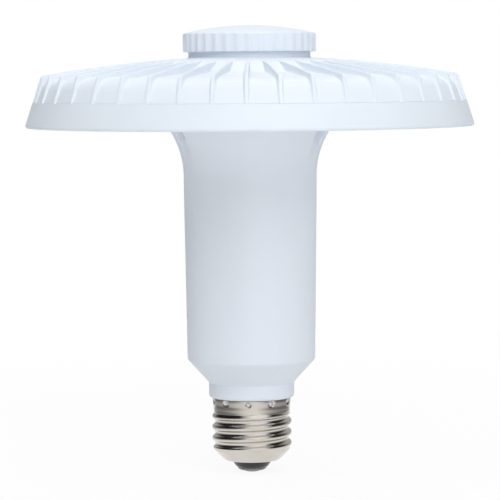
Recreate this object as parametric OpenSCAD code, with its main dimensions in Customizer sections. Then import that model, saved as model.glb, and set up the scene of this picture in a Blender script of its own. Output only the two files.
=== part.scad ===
// Lamp that replaces a discharge lamp: screw base, long neck, finned disc and screw cap.
// Origin at the tip of the centre contact, +Z up the lamp's axis, front towards -Y.

/* [Screw base] */
// Distance between neighbouring turns of the base thread
thread_pitch = 3.629; // [3.2:0.001:4]
// Radius over the thread's crests
thread_r = 13.15; // [12.6:0.05:13.6]
// Depth of the thread from crest to root
thread_depth = 1; // [0.6:0.05:1.2]
// Thickness of the rolled shell sheet
shell_sheet = 0.3; // [0.2:0.05:0.4]
// Length of the shell from its lower rim to its top
shell_h = 20.6; // [18:0.1:24]
// Height of the shell's lower rim above the contact's tip
shell_z = 4; // [3.4:0.1:5]
// Radius of the shell's lower rim
shell_rim_r = 6.95; // [6.4:0.05:7.6]
// Height of the shell's rounded end below the thread
shell_end_h = 4.2; // [3.6:0.1:5]
// Height of the plain skirt above the thread
skirt_h = 4.3; // [3.8:0.1:5.5]
// How far the skirt lies inside the thread's crests
skirt_drop = 0.55; // [0.4:0.05:0.7]
// Radius of the contact button
contact_r = 4.8; // [4:0.1:5.4]
// Height of the contact button
contact_h = 1.4; // [1:0.1:2]
// Radius of the contact's flat tip
contact_flat_r = 2.5; // [1.8:0.1:3]
// Radius of the contact's stem
stem_r = 1.2; // [0.8:0.1:1.8]
// Height of the insulator inside the shell
insulator_h = 3.2; // [2.6:0.1:4]

/* [Neck] */
// Radius of the collar above the shell
collar_r = 14.07; // [13.8:0.01:16]
// Height of the collar
collar_h = 5; // [4:0.1:8]
// Height of the cone between the collar and the neck
cone_h = 7.7; // [6:0.1:12]
// Radius of the neck at its lower end
neck_r = 21.07; // [20.5:0.01:24]
// How much the neck widens towards its upper end
neck_draft = 0.8; // [0.2:0.05:1.5]
// Height of the straight neck
neck_h = 60.2; // [58:0.1:90]
// Wall of the neck
neck_wall = 1.8; // [1.4:0.1:2.2]
// Radius of the flare's upper end as a share of the disc's radius
flare_share = 0.4188; // [0.4:0.0001:0.45]
// Height of the flare below the disc
flare_h = 16.4; // [15:0.1:18]
// Width of the lip at the neck's upper end
lip_w = 1.4; // [1:0.1:1.8]
// Thickness of the lip at the neck's upper end
lip_t = 1.2; // [0.8:0.1:1.5]
// Width in degrees of each window in the flare
window_angle = 12; // [8:0.5:13]
// Windows on each side of the flare
window_count = 4; // [2:1:4]
// Depth in the flare at which the windows run out
window_floor = 0.7; // [0.5:0.05:1]

/* [Disc] */
// Largest radius of the disc
disc_r = 73.5; // [72:0.1:80]
// Height of the rim band
band_h = 8.4; // [7:0.1:11]
// How much the band and the fins lean in for each millimetre of height
band_lean = 0.32; // [0.25:0.01:0.4]
// Height of the fin shoulder above the rim band
shoulder_h = 8.6; // [7:0.1:10]
// Radius of the disc's crowned top
crown_r = 393; // [330:1:600]
// Wall of the rim
rim_wall = 2.4; // [2:0.1:3]
// Step from the band in to the pockets between the fins
ledge_w = 0.8; // [0.5:0.05:1]
// Thickness of the disc's skirt around the rim ring's spigot
skirt_t = 1.3; // [1.2:0.05:1.4]
// Height of the mounting face above the disc's lower edge
plate_h = 13.3; // [12.8:0.1:13.8]
// Radius of the plain hub inside the fins
hub_r = 37; // [34:0.5:42]

/* [Fins] */
// Number of fins
fin_count = 42; // [24:1:48]
// Thickness of a fin
fin_t = 1.3; // [1:0.1:1.8]
// Pocket depth at the hub
pocket_in = 3; // [2:0.1:3.4]
// Pocket depth at the shoulder
pocket_out = 1.3; // [1:0.1:1.8]
// Turn of the first fin from the front, in degrees
fin_turn = -0.8; // [-4:0.1:4]

/* [Cap and port] */
// Radius of the cap over its ribs
cap_r = 21.8; // [21.4:0.1:24]
// Height of the cap's fluted side
cap_h = 6.2; // [5.8:0.1:8]
// Height of the cap's dome
dome_h = 2.5; // [1.8:0.1:4]
// Thickness of the cap's top above the seal
cap_top_t = 0.6; // [0.4:0.1:0.9]
// Number of flutes around the cap
flute_count = 36; // [24:1:40]
// Depth of a flute
flute_depth = 0.45; // [0.3:0.05:0.5]
// Radius of a flute
flute_r = 2.7; // [2:0.1:3]
// Gap between the cap and the crown of the disc
cap_gap = 2.1; // [1.5:0.1:3]
// Wall of the cap's side
cap_wall = 1.3; // [1:0.1:1.8]
// Wall of the boss that carries the cap
boss_wall = 2.7; // [2:0.1:3.4]
// Thickness of the well's floor
well_floor_t = 2.2; // [1.8:0.1:3]
// Width of the port hub's flange, which the neck clamps in the disc
hub_lip = 2; // [1.2:0.1:3]
// Thickness of the port hub's flange
hub_lip_t = 2; // [1.5:0.1:2.4]
// Height of the hollow under the port hub's deck
hub_core_h = 5; // [3:0.1:5.5]
// Thickness of the seal ring
gasket_t = 1; // [0.8:0.1:1.4]
// Radius of the port socket
socket_r = 8; // [7:0.1:9]
// Height of the port socket above the well's floor
socket_h = 8.8; // [7.5:0.1:9]
// Radius of the socket's stem through the disc
socket_stem_r = 3.6; // [3:0.1:4.5]
// Depth of the socket's recess
recess_d = 7; // [6:0.1:7.4]
// Radius of the ring on which the port's pins stand
pin_ring_r = 3.4; // [2.8:0.1:4]
// Radius of a port pin
pin_r = 0.6; // [0.4:0.05:0.8]

/* [Light source] */
// Thickness of the LED board
board_t = 1.6; // [1.2:0.1:2]
// Thickness of the thermal pad
pad_t = 0.5; // [0.3:0.1:0.8]
// Width of an LED package
chip_w = 3; // [2.2:0.1:3.5]
// Height of an LED package
chip_h = 0.7; // [0.4:0.1:1]
// Packages on the inner ring
chip_count = 24; // [16:1:28]
// Thickness of the diffuser
diffuser_t = 1.7; // [1.4:0.1:2.2]
// Height of the diffuser's edge above its underside
diffuser_edge_h = 2.3; // [2.2:0.1:2.8]
// How far the diffuser lies inside the rim's lower edge
diffuser_inset = 0.4; // [0.2:0.1:0.8]

/* [Screws] */
// Radius of a screw's shank
screw_r = 1.5; // [1.25:0.05:1.6]
// Radius of a screw's head
head_r = 2.75; // [2.4:0.05:2.8]
// Height of a screw's head
head_h = 1.9; // [1.5:0.1:2.2]
// Screws that hold the LED board
board_screw_count = 6; // [4:1:8]
// Screws that hold the neck
neck_screw_count = 4; // [3:1:6]
// Depth of the neck screws in the disc
neck_screw_grip = 5; // [4:0.1:6]
// Depth of the board screws in the disc
board_screw_grip = 1.7; // [1.4:0.1:1.9]

/* [Driver] */
// Room between the driver board's upper end and the disc's lower edge
driver_room = 0.6; // [0.4:0.1:2]
// Room between the driver board's edges and the neck's bore
driver_side_room = 0.9; // [0.7:0.1:1.2]
// Thickness of the driver board
driver_t = 1.6; // [1.2:0.1:1.8]
// Distance of the board's front face behind the lamp's axis
driver_y = 2.2; // [2:0.1:2.6]
// Radius of the bulk capacitor
bulk_r = 8; // [6.5:0.1:8.2]
// Share of the length left for bulk capacitor and transformer that the capacitor takes
bulk_share = 0.526; // [0.45:0.001:0.56]
// Width of the transformer core
core_w = 24; // [22:0.5:26]
// Thickness of the transformer core
core_t = 8; // [6:0.5:9]
// Radius of the leads over their insulation
lead_r = 0.6; // [0.4:0.05:0.7]

/* [Driver components] */
// Radius of the fuse
fuse_r = 4.2; // [3.5:0.1:4.4]
// Length of the fuse out of the board
fuse_h = 8; // [6:0.5:9]
// Radius of the varistor disc
varistor_r = 5; // [4:0.1:5.2]
// Thickness of the varistor disc
varistor_t = 4; // [3:0.1:5]
// Width of the film capacitor
film_w = 11; // [9:0.1:11.4]
// Height of the film capacitor out of the board
film_h = 10.5; // [8:0.5:11]
// Thickness of the film capacitor
film_t = 8; // [6:0.5:9]
// Width of the bridge rectifier
bridge_w = 8.4; // [7:0.1:9]
// Height of the bridge rectifier along the board
bridge_h = 6.4; // [5:0.1:8]
// Thickness of the bridge rectifier's body
bridge_t = 2.6; // [2:0.1:3.4]
// Radius of the choke's flanges
choke_r = 5; // [4.2:0.1:5.4]
// Height of the choke out of the board
choke_h = 10; // [8:0.5:11]
// Radius of the choke's core
choke_core_r = 2.2; // [1.6:0.1:2.8]
// Radius of the output capacitor
output_can_r = 2.9; // [2.4:0.1:3]
// Length of the output capacitor
output_can_h = 10.6; // [9:0.1:11]
// Length of the power transistor's body along the board
transistor_h = 14; // [12:0.5:14.5]
// Width of the power transistor's body out of the board
transistor_w = 9; // [8:0.1:9.4]
// Thickness of the power transistor
transistor_t = 4.4; // [3.8:0.1:4.6]
// Thickness of the heat plate
heat_plate_t = 1.4; // [1:0.1:1.6]
// Width of the output connector
connector_w = 7; // [6:0.5:8]
// Height of the output connector along the board
connector_h = 5; // [4:0.5:5.5]
// Depth of the output connector
connector_t = 4.5; // [4.4:0.1:5.5]

/* [Hidden] */
$fn = 96;

// Clearances
fit_gap = 0.1;
slip_gap = 0.2;
cap_fit = 0.3;
thread_fit = 0.05;
// Overlap of a cutting solid past the face it cuts
cut = 0.5;
corner_r = 0.8;

// Shell levels
shell_top_z = shell_z + shell_h;
thread_z1 = shell_z + shell_end_h;
thread_z2 = shell_top_z - skirt_h;
thread_start_drop = 0.8;
thread_start_z = shell_z - thread_start_drop;
mean_r = thread_r - thread_depth / 2;
skirt_r = thread_r - skirt_drop;
skirt_flare = 0.3;
nipple_drop = 0.9;
shell_sides = 32;
turn_steps = 8;
thread_fade = 2;
stem_reach = 0.6;
stem_top_z = shell_z + insulator_h + stem_reach;

// Neck levels
collar_z = shell_top_z + slip_gap;
cone_z = collar_z + collar_h;
neck_z = cone_z + cone_h;
flare_z = neck_z + neck_h;
neck_top_r = neck_r + neck_draft;
bore_r = neck_r - neck_wall;
nipple_r = skirt_r - shell_sheet - slip_gap;
nipple_h = skirt_h - nipple_drop;
collar_corner = 1;

// Disc levels
disc_z = flare_z + flare_h;
diffuser_z = disc_z + diffuser_inset;
seat_z = diffuser_z + diffuser_edge_h;
plate_z = disc_z + plate_h;
ledge_z = disc_z + band_h;
shoulder_z = ledge_z + shoulder_h;
ledge_r = disc_r - band_lean * (band_h - corner_r);
shoulder_r = ledge_r - band_lean * shoulder_h;
crown_top_z = shoulder_z + crown_drop(shoulder_r);
stack_h = 4.3;
stack_step = 0.5;
stack_z = disc_z + stack_h;
flare_end_r = disc_r * flare_share;
stack_r = flare_end_r - stack_step;
flare_reach = flare_end_r - neck_top_r;
flare_r = (pow(flare_h + stack_h, 2) + pow(flare_reach, 2)) / (2 * flare_reach);
ceiling_drop = 1;
ceiling_z = disc_z - ceiling_drop;
ceiling_t = 2.2;
core_step = 0.6;
side_core_r = flare_at(ceiling_z + ceiling_t) - neck_wall - core_step;
clamp_t = 2.5;
clamp_z = plate_z - clamp_t;
head_room = 0.4;
screw_land = 0.8;
clamp_r = stack_r + 2 * (head_r + head_room);
lip_z = plate_z - lip_t;
lip_r = stack_r + lip_w;
lead_slot_w = 6.4;
lead_slot_room = 0.6;
neck_screw_ring = stack_r + head_r + head_room;
seat_r = disc_r - rim_wall;
seat_w = 1.7;
cavity_r = shoulder_r + band_lean * (shoulder_z - plate_z) - ledge_w - rim_wall;
side_r = ledge_r - ledge_w;
floor_r = shoulder_r - ledge_w;
pocket_round = [0.9, 0.7];
wall_lean = (side_r - floor_r - pocket_round[0]) / (pocket_z(floor_r) - pocket_round[1] - ledge_z);
spigot_z = plate_z - slip_gap;
crown_steps = 4;

// Light source levels
pad_z = plate_z - pad_t;
board_z = pad_z - board_t;
board_in_r = clamp_r + 1;
board_out_r = cavity_r - 0.4;
board_screw_ring = board_out_r - head_r - 1;
chip_margin = 6;
chip_in_r = board_in_r + chip_margin;
chip_step = (board_screw_ring - head_r - chip_w - chip_in_r) / 2;

// Cap and port radii
cap_bore_r = cap_r - cap_wall;
boss_r = cap_bore_r - cap_fit;
well_r = boss_r - boss_wall;

// Cap levels
cap_z = crown_z(cap_r) + cap_gap;
cap_ceiling_z = cap_z + cap_h - cap_top_t;
gasket_z = cap_ceiling_z - fit_gap - gasket_t;
boss_z = gasket_z;
gasket_land = 0.3;
gasket_in_r = well_r + gasket_land;
gasket_out_r = boss_r - slip_gap;
well_z = plate_z + well_floor_t;
hub_flange_r = neck_screw_ring - screw_r - screw_land;
port_hub_r = hub_flange_r - hub_lip;
hub_lip_z = plate_z + hub_lip_t;
hub_wall = 2.4;
socket_wall = 1.8;
recess_r = socket_r - socket_wall;
recess_z = well_z + socket_h - recess_d;
stem_drop = 0.6;
pin_h = 2.4;
pin_count = 3;

// Driver levels
driver_foot = 2;
driver_z = neck_z + driver_foot;
driver_h = disc_z - driver_room - driver_z;
driver_back_y = driver_y + driver_t;
driver_w = 2 * (sqrt(bore_r * bore_r - driver_back_y * driver_back_y) - driver_side_room);
rail_lap = 1.7;
rail_x = driver_w / 2 - rail_lap;
rail_t = 2;
wire_bend = driver_y;
wire_land = 2;
input_z = driver_z + wire_land - wire_bend;
wire_pin_r = 0.35;
pad_gap = 0.3;
led_wire_drop = 1.6;
led_wire_z = clamp_z - led_wire_drop;
wire_turn = 1.6;
flange_h = 1.2;
leg_r = 3.4;
core_wall = 3.4;
core_lift = 3;

// Places of the components on the driver board, from its middle and its lower edge
row_gap = 0.8;
varistor_x = -0.8;
fuse_x = varistor_x - varistor_r - row_gap - fuse_r;
film_x = varistor_x + varistor_r + row_gap + film_w / 2;
first_row_z = 7;
second_row_z = first_row_z + max(fuse_r, film_t / 2, varistor_t / 2) + choke_r + 2 * row_gap;
choke_x = choke_r + row_gap;
bridge_x = -4.6 - bridge_w / 2;
can_x = -6.8;
can_z = second_row_z + choke_r + 2 * row_gap;
top_row_drop = 9.2;
top_row_z = driver_h - top_row_drop;
bulk_h = (top_row_z - can_z - 3 * row_gap) * bulk_share;
plate_inset = 4.3;
plate_x = driver_w / 2 - plate_inset;
transistor_x = plate_x - transistor_t / 2;
transistor_z = 4.5;
transistor_lift = 1.5;
transformer_z = can_z + bulk_h + 2 * row_gap;
core_h = top_row_z - row_gap - transformer_z;
output_can_x = -14.4;
connector_inset = 1.6;
connector_x = core_w / 2 - connector_inset - connector_w;

// Height lost from the crown's top at radius r
function crown_drop(r) = crown_r - sqrt(crown_r * crown_r - r * r);
function crown_z(r) = crown_top_z - crown_drop(r);
// Radius of the flare at height z
function flare_at(z) = neck_top_r + flare_r - sqrt(flare_r * flare_r - pow(z - flare_z, 2));
function clamp(v) = max(0, min(1, v));
function mix(a, b, t) = a + (b - a) * t;
// Pocket floor between the fins
function pocket_z(r) = crown_z(r) - mix(pocket_in, pocket_out, (r - hub_r) / (shoulder_r - hub_r));
// Inside of the disc's skirt at height z
function skirt_at(z) = side_r - skirt_t - wall_lean * (z - ledge_z);
// Inside of the light's cavity at height z
function cavity_at(z) = mix(seat_r - seat_w, cavity_r, (z - seat_z) / (plate_z - seat_z));
function board_screw_angle(i) = 30 + i * 360 / board_screw_count;
function neck_screw_angle(i) = 45 + i * 360 / neck_screw_count;
// Points of an arc about c from angle a to angle b in n steps
function arc(c, r, a, b, n) = [for (i = [0:n]) c + r * [cos(mix(a, b, i / n)), sin(mix(a, b, i / n))]];

// Screw shell: one sheet whose wall follows the round thread
function end_rise(z) = pow(clamp((z - shell_z) / shell_end_h), 0.7);
function shell_mid(z) = mix(shell_rim_r, mean_r, end_rise(z))
    + mix(0, skirt_r - mean_r, clamp((z - thread_z2) / thread_fade))
    + skirt_flare * clamp(z - shell_top_z + 1);
function shell_fade(z) = clamp((z - thread_z1 + thread_fade / 2) / thread_fade)
    * clamp((thread_z2 - z) / thread_fade);
function shell_wave(z, a) = thread_depth / 2 * shell_fade(z)
    * cos(a - 360 * (z - thread_start_z) / thread_pitch);
turn_count = ceil((thread_z2 - thread_z1) * turn_steps / thread_pitch);
shell_levels = concat(
    [for (i = [0:5]) shell_z + shell_end_h * i / 6],
    [for (i = [0:turn_count]) mix(thread_z1, thread_z2, i / turn_count)],
    [thread_z2 + 1, thread_z2 + thread_fade, shell_top_z - 1, shell_top_z]);

module screw_shell() {
    count = len(shell_levels);
    points = [for (k = [0:2 * count - 1])
        let (inner = k >= count, z = shell_levels[inner ? 2 * count - 1 - k : k])
        for (s = [0:shell_sides - 1])
            let (a = 360 * s / shell_sides)
            let (r = shell_mid(z) + shell_wave(z, a) - (inner ? shell_sheet : 0))
            [r * cos(a), r * sin(a), z]];
    faces = [for (k = [0:2 * count - 1]) for (s = [0:shell_sides - 1])
        let (k2 = (k + 1) % (2 * count), s2 = (s + 1) % shell_sides)
        let (p = k * shell_sides + s, q = k * shell_sides + s2)
        let (u = k2 * shell_sides + s, v = k2 * shell_sides + s2)
        each [[p, u, v], [p, v, q]]];
    color("silver") polyhedron(points, faces);
}

module base_insulator() {
    neck = shell_rim_r - shell_sheet - slip_gap;
    rise = 0.6;
    slope = 1.9;
    wide = neck + 2.3;
    color("black") difference() {
        rotate_extrude() polygon([[0, contact_h], [contact_r + fit_gap, contact_h],
            [mix(contact_r, neck, 0.35), mix(contact_h, shell_z, 0.4)], [neck, shell_z - fit_gap],
            [neck, shell_z + rise], [wide, shell_z + rise + slope], [wide, shell_z + insulator_h],
            [0, shell_z + insulator_h]]);
        translate([0, 0, contact_h - cut])
            cylinder(r = stem_r + thread_fit, h = shell_z + insulator_h);
    }
}

module centre_contact() {
    rim = 0.2;
    color("silver") rotate_extrude() polygon(concat([[0, 0]],
        [for (a = [0:30:90])
            [mix(contact_flat_r, contact_r, sin(a)), (contact_h - rim) * (1 - cos(a))]],
        [[contact_r, contact_h], [stem_r, contact_h], [stem_r, stem_top_z], [0, stem_top_z]]));
}

module neck_outline() {
    c = collar_corner;
    polygon(concat([[0, collar_z]], arc([collar_r - c, collar_z + c], c, -90, 0, 4),
        [[collar_r, cone_z], [neck_r, neck_z], [neck_top_r, flare_z], [neck_top_r, plate_z],
        [0, plate_z]]));
    difference() {
        translate([neck_top_r - neck_wall / 2, flare_z])
            square([stack_r - neck_top_r + 2 * neck_wall, stack_z - flare_z]);
        translate([neck_top_r + flare_r, flare_z]) circle(flare_r);
    }
    translate([neck_top_r - neck_wall / 2, stack_z - 1])
        square([stack_r - neck_top_r + neck_wall / 2, plate_z - stack_z + 1]);
    translate([stack_r - neck_wall, lip_z]) square([lip_w + neck_wall, lip_t]);
    translate([0, collar_z - nipple_h]) square([nipple_r, nipple_h + 1]);
}

module neck_bore() {
    bore_lag = 0.8;
    polygon([[0, collar_z - nipple_h - cut], [nipple_r - neck_wall, collar_z - nipple_h - cut],
        [nipple_r - neck_wall, cone_z], [bore_r, neck_z + bore_lag],
        [bore_r, ceiling_z + ceiling_t], [side_core_r, ceiling_z + ceiling_t], [side_core_r, stack_z],
        [stack_r - neck_wall, stack_z], [stack_r - neck_wall, plate_z + cut], [0, plate_z + cut]]);
}

// Hollow behind the flare's plain front and back
module panel_core() {
    start_r = bore_r - cut;
    start_z = flare_z + 5;
    end_r = stack_r - neck_wall - 0.3;
    end_z = stack_z + 0.7;
    difference() {
        translate([start_r, start_z]) square([end_r - start_r, end_z - start_z]);
        translate([neck_top_r + flare_r, flare_z]) circle(flare_r + neck_wall);
    }
}

module window_cut() {
    translate([neck_top_r + window_floor, flare_z])
        square([stack_r - neck_top_r + neck_wall, ceiling_z - flare_z]);
}

module neck_housing() {
    pitch = window_angle * 1.5;
    half = (window_count - 1) / 2;
    rib_angle = 3;
    panel = 90 - pitch * half - window_angle / 2 - rib_angle;
    slot_h = 2 * (lead_r + lead_slot_room);
    color("white") difference() {
        union() {
            difference() {
                rotate_extrude() neck_outline();
                rotate_extrude() neck_bore();
            }
            for (side = [-1, 1]) rail(side);
        }
        for (a = [-90, 90]) rotate([0, 0, a - panel]) rotate_extrude(angle = 2 * panel) panel_core();
        for (side = [0, 180], i = [0:window_count - 1])
            rotate([0, 0, side + (i - half) * pitch - window_angle / 2])
                rotate_extrude(angle = window_angle) window_cut();
        translate([side_core_r, -lead_slot_w / 2, led_wire_z - slot_h / 2])
            cube([stack_r - side_core_r + cut, lead_slot_w, slot_h]);
    }
}

// Ring under the neck's lip that the neck screws pull against the disc
module neck_clamp() {
    color("silver") difference() {
        rotate_extrude() polygon([[stack_r + fit_gap, clamp_z], [clamp_r, clamp_z], [clamp_r, plate_z],
            [lip_r + fit_gap, plate_z], [lip_r + fit_gap, lip_z], [stack_r + fit_gap, lip_z]]);
        for (i = [0:neck_screw_count - 1]) rotate([0, 0, neck_screw_angle(i)])
            translate([neck_screw_ring, 0, clamp_z - cut])
                cylinder(r = screw_r + slip_gap, h = clamp_t + 2 * cut);
    }
}

// Slotted rail that holds one edge of the driver board
module rail(side) {
    mirror([side < 0 ? 1 : 0, 0, 0]) difference() {
        translate([rail_x, driver_y - rail_t, driver_z - 1.5])
            cube([bore_r + neck_wall / 3 - rail_x, driver_t + 2 * rail_t, driver_h]);
        translate([0, driver_y - fit_gap, driver_z])
            cube([driver_w / 2 + slip_gap, driver_t + 2 * fit_gap, driver_h]);
    }
}

module sink_section() {
    seam_r = port_hub_r + fit_gap;
    polygon(concat([[hub_flange_r + fit_gap, plate_z], [skirt_at(plate_z), plate_z],
        [skirt_at(ledge_z), ledge_z], [side_r, ledge_z],
        [floor_r + pocket_round[0], pocket_z(floor_r) - pocket_round[1]]],
        [for (i = [0:crown_steps]) let (r = mix(floor_r, hub_r, i / crown_steps)) [r, pocket_z(r)]],
        [for (r = [hub_r, mix(hub_r, seam_r, 0.5), seam_r]) [r, crown_z(r)]],
        [[seam_r, hub_lip_z], [hub_flange_r + fit_gap, hub_lip_z]]));
}

// One fin, drawn in the plane of its radius, with its lower edge inside the casting
module fin() {
    sunk = 0.05;
    root = 1;
    side_root = 0.4;
    tip = 1;
    tip_r = shoulder_r - tip - 3 * sunk;
    inner_r = hub_r - 2 * root;
    rotate([90, 0, 0]) linear_extrude(fin_t, center = true) polygon(concat(
        [for (i = [0:crown_steps]) let (r = mix(inner_r, tip_r - sunk, i / crown_steps))
            [r, crown_z(r) - sunk]],
        arc([tip_r, shoulder_z - tip + sunk], tip, 75, 18, 4),
        [[ledge_r - sunk, ledge_z], [side_r - side_root, ledge_z],
        [floor_r + pocket_round[0] - side_root, pocket_z(floor_r) - root],
        [inner_r, pocket_z(hub_r) - root]]));
}

module heat_sink() {
    color("white") difference() {
        union() {
            rotate_extrude() sink_section();
            for (i = [0:fin_count - 1]) rotate([0, 0, fin_turn - 90 + i * 360 / fin_count]) fin();
        }
        for (i = [0:board_screw_count - 1]) rotate([0, 0, board_screw_angle(i)])
            translate([board_screw_ring, 0, plate_z - cut])
                cylinder(r = screw_r + thread_fit, h = board_screw_grip + cut + slip_gap);
        for (i = [0:neck_screw_count - 1]) rotate([0, 0, neck_screw_angle(i)])
            translate([neck_screw_ring, 0, plate_z - cut])
                cylinder(r = screw_r + thread_fit, h = neck_screw_grip + cut + slip_gap);
    }
}

// Ring below the fins: its spigot is pressed into the disc's skirt and its lower edge holds the
// diffuser
module rim_ring() {
    color("white") rotate_extrude() polygon(concat([[seat_r - seat_w, seat_z], [seat_r, seat_z],
        [seat_r, disc_z]], arc([disc_r - corner_r, disc_z + corner_r], corner_r, -90, 0, 4),
        [[ledge_r, ledge_z], [skirt_at(ledge_z) - fit_gap, ledge_z],
        [skirt_at(spigot_z) - fit_gap, spigot_z], [cavity_at(spigot_z), spigot_z]]));
}

// Hub that carries the cap: its flange is clamped between the disc and the neck
module port_hub() {
    color("white") difference() {
        rotate_extrude() polygon(concat([[0, plate_z], [hub_flange_r, plate_z],
            [hub_flange_r, hub_lip_z], [port_hub_r, hub_lip_z]],
            [for (r = [port_hub_r, mix(port_hub_r, boss_r, 0.5), boss_r]) [r, crown_z(r)]],
            [[boss_r, boss_z], [0, boss_z]]));
        translate([0, 0, well_z]) cylinder(r = well_r, h = boss_z - well_z + cut);
        translate([0, 0, plate_z - cut])
            cylinder(r = socket_stem_r + fit_gap, h = well_floor_t + 2 * cut);
        translate([0, 0, plate_z - cut]) ring(port_hub_r - hub_wall, boss_r, hub_core_h + cut);
    }
}

module ring(r_out, r_in, h) {
    difference() {
        cylinder(r = r_out, h = h);
        translate([0, 0, -cut]) cylinder(r = r_in, h = h + 2 * cut);
    }
}

module board_holes(r) {
    for (i = [0:board_screw_count - 1]) rotate([0, 0, board_screw_angle(i)])
        translate([board_screw_ring, 0, board_z - cut]) cylinder(r = r, h = pad_t + board_t + 2 * cut);
}

module thermal_pad() {
    color("lightgray") difference() {
        translate([0, 0, pad_z]) ring(board_out_r - 0.5, board_in_r + 0.5, pad_t);
        board_holes(screw_r + 0.4);
    }
}

module led_board() {
    color("whitesmoke") difference() {
        translate([0, 0, board_z]) ring(board_out_r, board_in_r, board_t);
        board_holes(screw_r + slip_gap);
    }
}

module led_chips() {
    color("khaki") for (k = [0:2], i = [0:chip_count + 4 * k - 1])
        rotate([0, 0, (i + 0.5) * 360 / (chip_count + 4 * k)])
            translate([chip_in_r + k * chip_step - chip_w / 2, -chip_w / 2, board_z - chip_h])
                cube([chip_w, chip_w, chip_h]);
}

module diffuser() {
    inner_r = flare_at(diffuser_z + diffuser_t) + 2 * slip_gap;
    outer_r = seat_r - fit_gap;
    edge = 0.5;
    step_r = outer_r - seat_w;
    color("ghostwhite") rotate_extrude() polygon([[inner_r, diffuser_z], [outer_r - edge, diffuser_z],
        [outer_r, diffuser_z + edge], [outer_r, seat_z], [step_r, seat_z],
        [step_r - edge, diffuser_z + diffuser_t], [inner_r, diffuser_z + diffuser_t]]);
}

// Pan-head screw with its head's underside at the origin and its shank upwards
module screw(length) {
    slot = 0.7;
    slot_r = head_r * 0.55;
    edge = 0.7;
    difference() {
        union() {
            cylinder(r = screw_r, h = length);
            translate([0, 0, -head_h]) rotate_extrude() polygon([[0, 0], [head_r - edge, 0],
                [head_r, edge], [head_r, head_h], [0, head_h]]);
        }
        for (a = [0, 90]) rotate([0, 0, a]) translate([-slot_r, -slot / 2, -head_h - cut])
            cube([2 * slot_r, slot, head_h / 2 + cut]);
    }
}

module board_screws() {
    color("silver") for (i = [0:board_screw_count - 1]) rotate([0, 0, board_screw_angle(i)])
        translate([board_screw_ring, 0, board_z]) screw(board_t + pad_t + board_screw_grip);
}

module neck_screws() {
    color("silver") for (i = [0:neck_screw_count - 1]) rotate([0, 0, neck_screw_angle(i)])
        translate([neck_screw_ring, 0, clamp_z]) screw(clamp_t + neck_screw_grip);
}

module driver_board() {
    color("darkgreen") translate([-driver_w / 2, driver_y, driver_z])
        cube([driver_w, driver_t, driver_h]);
}

// Places a component on the board's front face: x across, z up from the board's lower edge,
// with the component's own +Z pointing out of the board
module on_board(x, z) {
    translate([x, driver_y, driver_z + z]) rotate([90, 0, 0]) children();
}

// A cylinder that lies along the board, clear of it, with two wire legs from its lower end
module lying_can(r, h) {
    wire_out = 1.3;
    wire_in = 0.3;
    translate([0, 0, r + pad_gap]) rotate([-90, 0, 0]) cylinder(r = r, h = h);
    for (side = [-1, 1]) translate([side * r * 0.4, 0, 0]) {
        translate([0, wire_in, r + pad_gap]) rotate([90, 0, 0])
            cylinder(r = wire_pin_r, h = wire_in + wire_out);
        translate([0, wire_pin_r - wire_out, 0]) cylinder(r = wire_pin_r, h = r + pad_gap);
    }
}

module input_fuse() {
    color("saddlebrown") on_board(fuse_x, first_row_z) cylinder(r = fuse_r, h = fuse_h);
}

module surge_varistor() {
    lift = 1.5;
    color("royalblue") on_board(varistor_x, first_row_z) {
        translate([0, varistor_t / 2, varistor_r + lift]) rotate([90, 0, 0])
            cylinder(r = varistor_r, h = varistor_t);
        for (x = [-varistor_r / 2, varistor_r / 2]) translate([x, 0, 0])
            cylinder(r = wire_pin_r, h = varistor_r / 2 + lift);
    }
}

module film_capacitor() {
    color("goldenrod") on_board(film_x, first_row_z) translate([-film_w / 2, -film_t / 2, 0])
        cube([film_w, film_t, film_h]);
}

module bridge_rectifier() {
    lift = 1;
    leg_w = 1;
    inset = 0.6;
    color("dimgray") on_board(bridge_x, second_row_z) translate([-bridge_w / 2, -bridge_h / 2, 0]) {
        translate([0, 0, lift]) cube([bridge_w, bridge_h, bridge_t]);
        for (x = [inset, bridge_w - inset - leg_w], y = [inset, bridge_h - inset - leg_w])
            translate([x, y, 0]) cube([leg_w, leg_w, lift + cut]);
    }
}

module input_choke() {
    color("dimgray") on_board(choke_x, second_row_z) {
        cylinder(r = choke_r, h = flange_h);
        cylinder(r = choke_core_r, h = choke_h);
        translate([0, 0, choke_h - flange_h]) cylinder(r = choke_r, h = flange_h);
    }
}

module choke_winding() {
    winding_step = 0.6;
    color("peru") on_board(choke_x, second_row_z) translate([0, 0, flange_h + fit_gap])
        ring(choke_r - winding_step, choke_core_r + fit_gap, choke_h - 2 * flange_h - 2 * fit_gap);
}

module bulk_capacitor() {
    color("midnightblue") on_board(can_x, can_z) lying_can(bulk_r, bulk_h);
}

module transformer_core() {
    color("dimgray") on_board(0, transformer_z) translate([0, 0, core_lift]) {
        difference() {
            translate([-core_w / 2, 0, 0]) cube([core_w, core_h, core_t]);
            translate([-core_w / 2 + core_wall, core_wall, -cut])
                cube([core_w - 2 * core_wall, core_h - 2 * core_wall, core_t + 2 * cut]);
        }
        translate([0, core_wall / 2, core_t / 2]) rotate([-90, 0, 0])
            cylinder(r = leg_r, h = core_h - core_wall);
    }
}

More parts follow.
